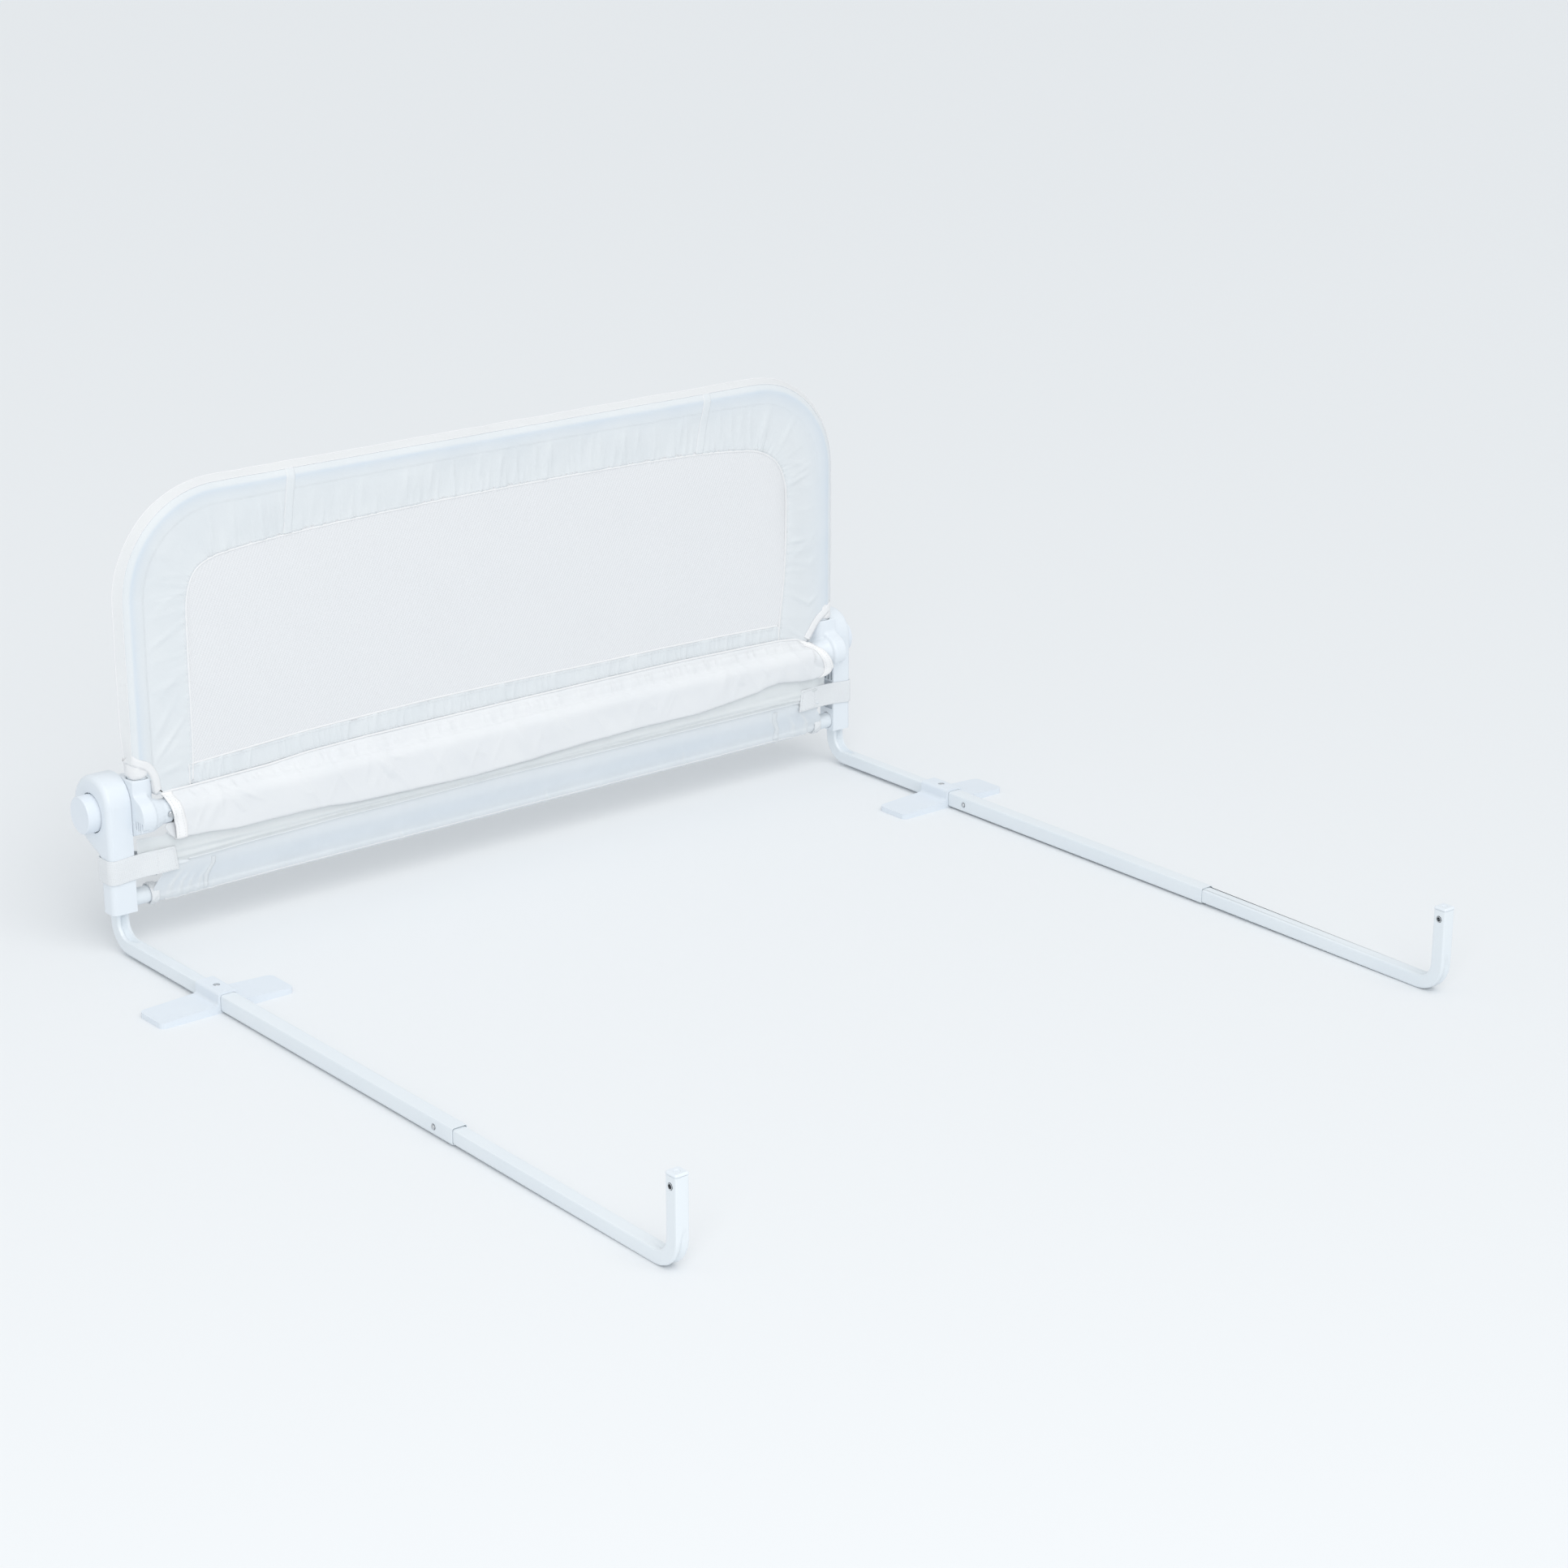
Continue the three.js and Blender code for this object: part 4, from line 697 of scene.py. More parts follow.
cover_creases = (
    (-481, 241, -437, 279, 2.6, 1.9), (-474, 230, -440, 236, 3.0, 1.2),
    (-480, 262, -447, 300, 4.0, 1.1), (-482, 352, -432, 372, 3.0, 1.0),
    (-478, 312, -440, 318, 3.4, 0.8), (-476, 470, -440, 440, 5.0, 0.9),
    (484, 243, 436, 262, 3.0, 1.4), (432, 320, 462, 324, 2.4, 1.4), (432, 386, 466, 398, 2.4, 1.5),
    (482, 292, 440, 300, 3.6, 0.9), (420, 436, 446, 478, 4.0, 1.1), (392, 448, 402, 486, 3.4, 1.2),
    (470, 205, 432, 222, 3.0, 1.1))


def creases_at(x, z, lines):
    """Ridges along straight lines from x1, z1 to x2, z2, with a width and a height."""
    lift = np.zeros(np.broadcast(x, z).shape)
    for x1, z1, x2, z2, width, height in lines:
        run = math.hypot(x2 - x1, z2 - z1)
        along = ((x - x1) * (x2 - x1) + (z - z1) * (z2 - z1)) / run
        aside = ((x - x1) * (z2 - z1) - (z - z1) * (x2 - x1)) / run
        lift = lift + height * bell(aside, 0, width) * bell(along / run, 0.5, 0.45)
    return lift


print(len(cover_creases), "single creases on the cover")

# %% [markdown]
# The section is swept along the stations to make the cover, as one closed skin. On the legs each
# row is laid against the cut lower edge, and beside the collar of the hub the sleeve is pushed
# out, so that it closes over the collar.

# %% Sweep the cover
def cover_rows():
    rows = []
    for (x, z, out_x, out_z), reach, along in zip(stations, reaches, travel):
        leg_share = (KNEE - z) / (KNEE - hem(x)) if abs(out_x) == 1 else 0.0
        fin = FIN + math.sin(math.pi * leg_share) * 0.9 - 1.2 * max(out_z, 0) ** 2
        fin -= 2.4 * np.clip((252 - z) / 34, 0, 1)
        out, depth = cover_section(reach, fin + 0.5 * wander(along, 22, 19)).T
        inside = reach + out
        flat = np.clip((-8 - out) / 16, 0, 1)
        lean = cloth_slack(along, inside, out_z ** 2) * flat * np.clip(inside / 2.5, 0.25, 1)
        lean = lean + creases_at(x + out * out_x, z + out * out_z, cover_creases) * flat
        round_ = (1 - flat) * (np.abs(out) < SLEEVE + 1)
        swell = wander(along, 14, 21) * 0.2 + wander(along + depth * 2, 37, 22) * 0.3
        swell = 1 + round_ * swell / SLEEVE
        out = out * swell
        depth = TUBE_BACK + (depth - TUBE_BACK) * swell - lean
        place_x, place_z = x + out * out_x, z + out * out_z
        if abs(out_x) == 1:
            low = hem(place_x)
            place_z = low + (KNEE - low) * (1 - leg_share)
            beside_collar = np.clip((204 - place_z) / 5, 0, 1) * np.clip((out + 24) / 8, 0, 1)
            far = np.hypot(out, depth - TUBE_BACK)
            push = 1 + (np.maximum(15.5 / np.maximum(far, 0.1), 1) - 1) * beside_collar
            place_x = x + out * push * out_x
            depth = TUBE_BACK + (depth - TUBE_BACK) * push
        rows.append(np.stack([place_x, depth, place_z], axis=1))
    return np.array(rows)


cover_grid = cover_rows()
cover = skin("sewn_cover", cover_grid, closed=True, capped=True)
on_guard(cover, border_cloth, "guard_cover")

# %% [markdown]
# The blue enamel shows through the cover as a line on the front, sharp on the outside and fading
# towards the window, because the cloth lies on the tube outside and leaves it slowly inside. The
# tint is darker than the enamel, so the line is also painted shade beside the tube.

# %% Tube that shows through the cover, with painted shade
def tube_and_shade_on_cover():
    x, z, out_x, out_z = (stations[:, column, None] for column in range(4))
    outs = (cover_grid[:, :, 0] - x) * out_x + (cover_grid[:, :, 2] - z) * out_z * (out_z > 0)
    fade = 5.5 + 8 * np.clip(x / LEG, 0, 1) + wander(travel, 40, 23)[:, None]
    # Painted shade: the tint darkens the cloth beside the tube as well as showing the tube.
    tube_and_shade = np.clip((4.6 - outs) / 2.6, 0, 1) * np.exp(-np.clip(1.5 - outs, 0, 60) / fade)
    tube_and_shade *= 0.85 + 0.15 * wander(travel, 25, 24)[:, None]
    tube_and_shade[:, FRONT_POINTS:] = 0
    return tube_and_shade


let_tube_show_and_shade(cover, tube_and_shade_on_cover())

# %% [markdown]
# Below the window the border is a narrow strip between the window's seam and the cover's lower
# seam. It is gathered: the cloth is longer than its seam, so dense short puckers stand across it.
# It is a closed double layer like the rest of the border.

# %% Gathered strip below the window
def slice_at(x, y, z):
    """Points of one cut across the cloth at a place along the rail."""
    return np.stack([np.full_like(z, x), y, z], axis=1)


def strip_rows():
    rise = np.linspace(0, 1, 12) ** 0.9
    swell = np.sin(np.pi * rise) ** 0.6
    shut = 0.3 * np.exp(-(((1 - rise) / 0.05) ** 2))
    rows = []
    for x in np.linspace(-434, 419.5, 860):
        low, high = hem(x) - 1.2, sill(x) + 1.2
        z = low + (high - low) * rise
        pucker = crest(x + z * 0.1, 7.5, 31) * 1.5 + crest(x - z * 0.15, 13, 32) * 1.7 - 1.2
        slant = wander(x + z * 0.15, 21, 33) * 0.6
        lean = (pucker + slant) * (0.25 + 0.75 * swell) * 0.8
        front = slice_at(x, FLAT_FRONT - 0.5 * swell - lean + shut, z)
        back = slice_at(x, FLAT_BACK + 0.4 * swell - lean - shut, z)
        rows.append(np.concatenate([front, back[::-1]]))
    return rows


on_guard(skin("gathered_strip", strip_rows(), closed=True, capped=True), border_cloth)

# %% [markdown]
# The net is one taut sheet inside the border. It is stitched all round, so its edge lies in the
# border's plane, and between its seams it bellies by a millimetre or two. Its grid fills the
# outline column by column.

# %% Net of the window
NET_LEFT, NET_RIGHT = -431, 434


def net_rows():
    upper = window_line[window_line[:, 1] > 300]
    order = upper[upper[:, 0].argsort()]
    rows = []
    for x in np.linspace(NET_LEFT, NET_RIGHT, 150):
        top, low = np.interp(x, *order.T) + 3, sill(x) - 2
        z = np.linspace(low, max(top, low + 5), 44)
        share = (z - low) / (z[-1] - low)
        width_share = np.clip((x - NET_LEFT) / (NET_RIGHT - NET_LEFT), 0, 1)
        belly = np.sin(np.pi * share) * np.sin(np.pi * width_share) ** 0.5
        pull = wander(x, 60, 41) * 0.7 + wander(z + x * 0.3, 85, 42) * 0.6
        rows.append(slice_at(x, SEAM_DEPTH + belly * (1.2 + pull), z))
    return rows


net_sheet = skin("window_net", net_rows())
settle(net_sheet, net, "net", "guard", "mesh_window")

# %% [markdown]
# A narrow roll of piping closes the window's seam and the cover's lower seam, with a line of
# lockstitch beside it. The piping is sunk into the border, so only a shallow cap of it shows.

# %% Piping and seam stitches of the cover
SUNK = 1.2


def on_cover(index, out, lift):
    """Point on the front of the cover at a station, by its distance out of the tube's middle."""
    x, z, out_x, out_z = stations[index]
    front = cover_grid[index][:FRONT_POINTS]
    outs = (front[:, 0] - x) * out_x + (front[:, 2] - z) * out_z
    depth = np.interp(out, outs, front[:, 1])
    height = np.interp(out, outs, front[:, 2]) if abs(out_x) == 1 else z + out * out_z
    return np.array([x + out * out_x, depth - lift, height])


def window_seam(inset, lift):
    """Line that follows the window's seam, a little inside the border."""
    above_sill = np.flatnonzero(stations[:, 1] > 216)
    return np.array([on_cover(i, -reaches[i] + inset, lift) for i in above_sill])


sill_xs = np.linspace(417, -430, 300)
sill_line = np.stack([sill_xs, np.full(300, FLAT_FRONT), sill(sill_xs) + 1.0], axis=1)
closed_seam = np.concatenate([window_seam(-0.2, -SUNK + 0.3), sill_line + [0, SUNK, 0]])
on_guard(piping("window_piping", evenly(closed_seam, 3), 1.6), tape_cloth)
for name, x in (("left", -433.4), ("right", 418.6)):
    corner_seam = [(x, FLAT_FRONT - 0.5, z) for z in np.linspace(hem(x), sill(x) + 2, 12)]
    on_guard(piping(f"{name}_corner_seam", corner_seam, 0.8), tape_cloth)
hem_xs = np.linspace(-478, 465, 420)
hem_line = np.stack([hem_xs, np.full(420, -0.3), hem(hem_xs)], axis=1)
on_guard(piping("lower_piping", hem_line, 1.4), tape_cloth)
for name, line, radius in (("window_stitches", window_seam(3.4, 0.0), 0.3),
                           ("sill_stitches", sill_line + [0, -0.6, -3.2], 0.3),
                           ("lower_stitches", hem_line + [0, 0.1, 3.4], 0.32)):
    on_guard(stitches(name, line, radius=radius), thread)

# %% [markdown]
# Two short tapes cross the top border where the front cloth was pieced. Each is drawn as a few
# lines down the front of the cover, lifted by its own thickness, with a fine roll along its left
# edge.

# %% Tapes across the top border
def top_line(upper_x, lower_x, step, lift):
    """Line down the front of the top border, from its fin to the window's seam."""
    line = []
    for share in np.linspace(0, 1, 60):
        x = upper_x + (lower_x - upper_x) * share + step
        index = int(np.argmin(np.hypot(stations[:, 0] - x, stations[:, 1] - TOP)))
        point = on_cover(index, 11.0 - share * (10.0 + reaches[index]), lift)
        point[0] = x
        line.append(point)
    return line


for name, upper_x, lower_x in (("left", -285.5, -291.6), ("right", 305, 294.5)):
    tape_lines = [top_line(upper_x, lower_x, step, 0.55 if abs(step) < 5 else 0.1)
                  for step in (-5.4, -4.6, -2.5, 0, 2.5, 4.6, 5.4)]
    tape = skin(f"{name}_top_tape", np.array(tape_lines).transpose(1, 0, 2))
    on_guard(thicken(tape, 0.4), border_cloth)
    edge_line = evenly(top_line(upper_x, lower_x, -5.0, 0.2), 2.5)
    on_guard(piping(f"{name}_top_tape_edge", edge_line, 0.5), tape_cloth)

# %% [markdown]
# The two cloths of the cover meet along the outside in a fin that is bound with folded tape. The
# tape is drawn on the section itself, a hair outside it, so it follows the whole bend of the
# tube.

# %% Bound fin round the outside
FIRST_OF_FIN, POINTS_OF_FIN = 36, 9


def fin_rows():
    picked = cover_grid[:, FIRST_OF_FIN:FIRST_OF_FIN + POINTS_OF_FIN].copy()
    middle = stations[:, None, :2]
    outward = picked[:, :, [0, 2]] - middle
    depth = picked[:, :, 1] - TUBE_BACK
    grow = 1 + 0.45 / np.sqrt((outward ** 2).sum(-1) + depth ** 2)
    on_top = np.abs(stations[:, 2]) < 1
    picked[:, :, 0] = middle[..., 0] + outward[..., 0] * grow
    picked[on_top, :, 2] = (middle[..., 1] + outward[..., 1] * grow)[on_top]
    picked[:, :, 1] = TUBE_BACK + depth * grow
    return picked


fin_grid = fin_rows()
on_guard(thicken(skin("outer_fin_binding", fin_grid), 0.5), fin_cloth)
for name, column, radius in (("fin_root_piping", 0, 0.6), ("fin_rim_piping", 4, 0.75)):
    on_guard(piping(name, evenly(fin_grid[:, column], 2.5), radius), tape_cloth)

# %% [markdown]
# Each lower corner of the cover is cut away round the hub and bound with a folded tape. The tape
# follows the cut edge, about 9 mm wide on the front and on the back, and its depth is read from
# the cover. A soft cuff closes the cover on the leg just above the hub.

# %% Corner bindings and cuffs
def cover_depth(x, z, back=False):
    """Depth of the cover beside a leg, on its front or its back."""
    side = 1 if x > 0 else -1
    share = np.clip((z - hem(x)) / (KNEE - hem(x)), 0, 1)
    place = int(round(share * (LEG_STEPS - 1)))
    row = cover_grid[place] if side < 0 else cover_grid[-1 - place]
    part = row[FRONT_POINTS + 1:][::-1] if back else row[:FRONT_POINTS]
    return np.interp(side * x, part[:, 0] * side, part[:, 1])


def corner_binding(name, side, first_x, last_x):
    chosen = (lower_edge[:, 0] * side > first_x) & (lower_edge[:, 0] * side < last_x)
    edge = evenly(rounded(lower_edge[chosen]), 1.6)
    run = directions(edge)
    rows = []
    for point, into in zip(edge, np.stack([-run[:, 1], run[:, 0]], axis=1)):
        into = into if into[1] > 0 or into[0] * side < 0 else -into
        row = []
        for back, widths in ((False, (9.4, 8.6, 5.6, 2.8, 0)), (True, (0, 2.8, 5.6, 8.6))):
            for width in widths:
                x, z = point + into * width
                lift = 0.2 if width > 8.6 else 0.8
                row.append((x, cover_depth(x, z, back) + (lift if back else -lift), z))
            if not back:
                row.append((point[0], (row[-1][1] + cover_depth(*point, True)) / 2, point[1] - 0.8))
        rows.append(row)
    return skin(name, rows)


def cuff(name, side):
    turns = np.linspace(0, 2 * np.pi, 49)[:-1]
    rows = []
    for z, radius in ((201.2, 12.4), (202.2, 13.3), (206, 14.1), (211, 13.6), (216, 13.9),
                      (220, 13.0)):
        far = radius + 0.5 * np.sin(7 * turns + z)
        rows.append(np.stack([side * LEG + far * np.cos(turns), TUBE_BACK + far * np.sin(turns),
                              z + 1.2 * np.sin(3 * turns + side)], axis=1))
    return skin(name, rows, closed=True)


for side, name, first_x, last_x in ((-1, "left", 477, 512), (1, "right", 465, 510)):
    binding = corner_binding(f"{name}_corner_binding", side, first_x, last_x)
    on_guard(thicken(binding, 0.4), tape_cloth)
    on_guard(cuff(f"{name}_cuff", side), tape_cloth)

# %% [markdown]
# ## The wrap
# The wrap starts in the cover's lower seam, goes over the middle tube, hangs down to a soft lip,
# turns up behind the lip and closes behind the tube. It is one sheet, so it is drawn as a single
# curve from seam to seam at each place along the rail. The curve passes through a few known
# points, and the lip follows the wavy line that the photograph shows.

# %% Shape of the wrap
lip_heights = np.array([
    (-480, 128), (-463, 126.5), (-450, 127), (-429, 126), (-409, 123.6), (-388, 121.4),
    (-345, 122.4), (-302, 122.5), (-270, 121.4), (-236, 117.8), (-180, 116.6), (-124, 115.4),
    (-66, 114.3), (-7, 115.6), (23, 117), (53, 118.8), (98, 120.3), (144, 121), (188, 122.4),
    (235, 121.9), (273, 122), (302, 124), (334, 126.8), (367, 130.9), (380, 134.4), (400, 136.8),
    (420, 134.3), (437, 131.8), (460, 130), (474, 131.4), (487, 135.3), (494, 138.5)])
WRAP = 14.6


def lip(x):
    return np.interp(x, *lip_heights.T)


def through(points, count):
    """Smooth curve through points, evenly stepped."""
    points = np.asarray(points, float)
    padded = np.concatenate([points[:1] * 2 - points[1:2], points, points[-1:] * 2 - points[-2:-1]])
    share = np.linspace(0, 1, 9)[:-1, None]
    parts = [0.5 * (2 * b + (c - a) * share + (2 * a - 5 * b + 4 * c - d) * share ** 2
                    + (3 * b - a - 3 * c + d) * share ** 3)
             for a, b, c, d in zip(padded, padded[1:], padded[2:], padded[3:])]
    return spread(np.concatenate(parts + [points[-1:]]), count)


def on_wrap(*degrees_):
    return [on_circle(MIDDLE, WRAP, angle) for angle in degrees_]


def wrap_section(x, seam_x):
    seam, low = hem(np.clip(seam_x, -477, 462)), lip(x)
    mid = (MIDDLE[1] + low) / 2
    points = [(0.1, seam - 0.6), (-1.5, seam - 3.6), (-4.6, max(seam - 9, MIDDLE[1] + WRAP + 0.9))]
    points += on_wrap(112, 130, 152, 176)
    points += [(-17.3, mid + 6), (-16.9, mid - 5), (-16.4, low + 3), (-15.9, low + 0.7),
               (-14.9, low), (-13.9, low + 0.7), (-13.3, low + 3.5), (-13.2, mid),
               (-12.9, MIDDLE[1] - 11.5)]
    points += on_wrap(244, 270, 300, 330, 0, 28)
    return points + [(6.2, MIDDLE[1] + 13.8), (3.9, max(seam - 7, 174)), (3.4, seam - 0.6)]


print("lip from", lip_heights[:, 1].min(), "to", lip_heights[:, 1].max(), "mm above the floor")

# %% [markdown]
# The folds of the wrap are pulls in a light cloth: a few broad slanted ones on the front, small
# ones over the tube, and dense puckers just under the seam. Each is a ridge that leans along a
# line measured in the photograph, and a fine wander keeps the rest alive.

# %% Folds and ends of the wrap
slanted_folds = (
    (-199, 172, -159, 126, 5, 1.5), (-190, 156, -174, 121, 4, -1.1), (-7, 172, 21, 118, 9, 2.2),
    (37, 146, 46, 118, 5, -1.3), (320, 174, 313, 130, 6, 1.5), (339, 158, 333, 132, 4, 1.0),
    (343, 188, 333, 176, 4, 1.0), (402, 187, 388, 176, 4, 1.1), (-402, 170, -425, 132, 7, 1.4),
    (-300, 165, -286, 124, 9, 1.2), (120, 168, 150, 126, 11, -1.2), (232, 166, 215, 128, 8, 1.2),
    (-92, 168, -60, 120, 10, 1.3), (430, 166, 448, 134, 7, 1.4))
fanned_creases = (
    (-389, 172, -352, 150, 2.2, 1.3), (-396, 170, -372, 136, 2.6, 1.2),
    (-404, 168, -404, 138, 2.4, 0.9), (-196, 172, -160, 158, 2.4, 1.3),
    (-200, 170, -176, 136, 3.0, 1.4), (-208, 168, -214, 140, 2.6, 0.8),
    (60, 166, 84, 136, 3.0, 1.0), (196, 160, 216, 132, 3.4, 1.1), (332, 168, 352, 140, 4.0, 1.6),
    (372, 172, 392, 146, 3.0, 1.1), (-60, 150, -34, 126, 3.0, 0.9),
    (-300, 150, -268, 128, 3.0, 0.9))
left_end = np.array([
    (0, -471.5), (0.1, -470.5), (0.22, -467.5), (0.33, -463.8), (0.42, -463.2), (0.45, -463.5),
    (0.49, -470), (0.56, -476), (0.62, -470), (0.68, -464.6), (1, -464.6)])
right_end = np.array([
    (0, 460), (0.08, 469), (0.16, 477), (0.26, 484), (0.34, 488.6), (0.40, 487), (0.45, 480),
    (0.50, 472), (0.58, 468), (0.68, 464.6), (1, 464.6)])


def fold_lift(x, z):
    lift = 0
    for x1, z1, x2, z2, width, height in slanted_folds:
        share = (z - z1) / (z2 - z1)
        lift = lift + height * bell(x, x1 + (x2 - x1) * share, width) * bell(share, 0.5, 0.55)
    return lift


def wrap_lean(x, z, around):
    """How far the wrap stands off its smooth section, in mm: seam gathers, folds and creases."""
    front = bell(around, 0.24, 0.2)
    gathers = crest(x, 9, 51) * 1.7 + crest(x + z * 0.3, 17, 52, 4) * 2.2 - 1.1
    broad = wander(x + z * 0.4, 48, 53) * 1.2 + wander(x - z * 0.5, 90, 54) * 1.2
    lean = (fold_lift(x, z) + broad + (crest(x + z * 0.7, 41, 56, 5) - 0.3) * 1.3) * front
    lean += gathers * bell(around, 0.06, 0.055) * np.clip((around - 0.012) / 0.03, 0, 1)
    lean += (crest(x - z * 0.5, 29, 57, 5) - 0.3) * 0.9 * bell(around, 0.30, 0.12)
    lean += wander(x, 30, 55) * 0.5 * bell(around, 0.62, 0.15)
    lean += 0.9 * bell(around, 0.135, 0.012) * (0.6 + 0.4 * wander(x, 70, 58))
    return lean + creases_at(x, z, fanned_creases) * np.clip((0.33 - around) / 0.03, 0, 1)


print(len(slanted_folds), "broad folds and", len(fanned_creases), "fanned creases")

# %% [markdown]
# The wrap's curve is swept from its left end to its right one. Near the hubs the cloth is pushed
# out of the bosses, which are thicker than the tube.

# %% Sweep the wrap
WRAP_POINTS = 84


def wrap_rows(from_share=0.0, to_share=1.0, steps=560, lift=0.0):
    around = np.linspace(0, 1, WRAP_POINTS)
    low, high = np.interp(around, *left_end.T), np.interp(around, *right_end.T)
    rows = []
    for share in np.linspace(from_share, to_share, steps):
        xs = low + (high - low) * share
        section = through(wrap_section(float(xs[:40].mean()), float(xs[0])), WRAP_POINTS)
        y, z = section.T
        run = directions(section)
        lean = wrap_lean(xs, z, around) + lift
        y, z = y + run[:, 1] * lean, z - run[:, 0] * lean
        boss = np.clip((np.abs(xs) - 462) / 26, 0, 1)
        least = 13.4 + lift + (2.4 + 6.4 * boss) * (np.abs(xs) > 463.5) * (around < 0.42)
        far = np.hypot(y - MIDDLE[0], z - MIDDLE[1])
        y = MIDDLE[0] + (y - MIDDLE[0]) * np.maximum(least / np.maximum(far, 1), 1)
        y = y - bell(around, 0.36, 0.09) * boss * 4.5 * (xs > 0)
        rows.append(np.stack([xs, y, z], axis=1))
    return np.array(rows)


wrap = thicken(skin("middle_wrap", wrap_rows()), 1.0)
on_guard(wrap, wrap_cloth, "cover_wrap")

# %% [markdown]
# Both ends of the wrap are bound with a white tape 10 to 14 mm wide. The tape is the last stretch
# of the same surface, lifted by its own thickness, so it follows every wave of the edge. Two rows
# of stitches hold it.

# %% Bindings of the wrap
for side, first, last in (("left", -0.0006, 0.0145), ("right", 0.9885, 1.0006)):
    name = f"{side}_wrap_binding"
    on_guard(thicken(skin(name, wrap_rows(first, last, 6, 1.0)[:, :44]), 0.8), white_tape)
    for inset, row_name in ((0.25, "inner"), (0.75, "outer")):
        share = first + (last - first) * inset
        line = wrap_rows(share, share + 0.0001, 2, 1.5)[0, 3:43]
        on_guard(stitches(f"{name}_{row_name}_stitches", line, 3.4, 2.3, 0.36), thread)

# %% [markdown]
# ## The skirt
# The skirt hangs behind the lip and closes round the lower tube. A pleat is stitched along it at
# two thirds of its height, and it is drawn together at both ends. The upper strip is sheer and
# slack, the lower one is pulled smooth. They are two sheets that meet in the pleat, because the
# upper strip sinks down when the guard is folded away and the lower one stays.

# %% Gathers of the skirt
SKIRT_HALF, _, SKIRT_TOP = box_in_mm("skirt")[1]
RIDGE = 100.5


def skirt_gather(x):
    """Slack in the middle, tight creases towards the ends, and how near the end is."""
    ends = np.exp((np.abs(x) - SKIRT_HALF) / 60)
    middle = wander(x, 62, 61) * 0.8 + wander(x, 29, 62) * 0.25
    tight = wander(x, 10, 63) * 1.1 + wander(x, 19, 64) * 1.1
    return middle, tight * ends, ends


def under_strap(x):
    """1 where the strap lies over the skirt, 0 inside."""
    return np.clip((np.abs(x) - 440) / 16, 0, 1)


def ridge_height(x):
    return RIDGE + 2.2 * bell(x, 0, 260) - 2.6 * bell(x, -450, 70) + 0.5 * wander(x, 80, 65)


print("skirt is", round(2 * SKIRT_HALF, 1), "mm wide, its pleat", RIDGE, "mm above the floor")

# %% [markdown]
# The upper strip hangs from behind the lip with a soft roll above the pleat. Under each strap it
# is pressed flat and comes forward, so that the strap can lie on it.

# %% Upper strip of the skirt
def upper_rows():
    rows = []
    for x in np.linspace(-SKIRT_HALF - 26, SKIRT_HALF + 14, 420):
        middle, tight, _ = skirt_gather(x)
        flat = under_strap(x)
        ridge = ridge_height(x) * (1 - flat) + 97 * flat
        lean = (middle * 0.8 + tight * 0.5) * (1 - 0.85 * flat)
        slack = wander(x, 44, 66) * (1 - flat)
        top = SKIRT_TOP - 9 * np.clip((np.abs(x) - 462) / 14, 0, 1)
        back = 2.6 * flat + 8.5 * np.clip((abs(x) - 470) / 26, 0, 1)
        line = [(y + back, z) for y, z in (
            (-10.6, top), (-10.9, top - 5), (-11.0 + lean * 0.5, 121),
            (-10.8 + lean + slack * 0.7, 116), (-11.9 + lean + slack * 0.8, 111.5),
            (-10.2 + lean - slack * 0.6, 107.5), (-11.0 + lean * 0.8, ridge + 4.6),
            (-9.4 + lean * 0.6, ridge + 2.4), (-9.6 + lean * 0.6, ridge + 0.6),
            (-8.5 + lean * 0.6, ridge - 1.3))]
        rows.append(slice_at(x, *through(line, 34).T))
    return rows


skirt_upper = skin("skirt_upper_strip", upper_rows())
settle(skirt_upper, upper_voile, "sheer_cloth", "base", "skirt")

# %% [markdown]
# The lower band runs from the pleat over the front of the lower tube and round it. Its gathers
# are short creases that start at the tube. A blue tint lies where the band slopes down over the
# tube: partly the tube seen through the sheer cloth, partly painted shade on the down-facing cloth,
# and the creases that stand out get less of it, so they are painted lighter.

# %% Lower band of the skirt
BAND_HALF = 487.0
band_columns = np.linspace(-BAND_HALF, BAND_HALF, 520)
band_creases = (
    (-470, 46, -462, 84, 2.6, 2.2), (-457, 44, -449, 80, 2.2, 2.0), (-446, 44, -438, 74, 2.4, 1.6),
    (-432, 46, -424, 84, 2.0, 1.3), (-412, 42, -410, 60, 1.8, 0.9), (-150, 44, -158, 62, 1.6, 1.2),
    (60, 44, 52, 64, 1.6, 1.2), (140, 44, 136, 58, 1.5, 0.8), (268, 46, 262, 74, 1.8, 1.0),
    (420, 46, 408, 86, 2.2, 2.0), (446, 46, 438, 82, 3.0, 1.5), (466, 46, 460, 84, 2.4, 2.2))


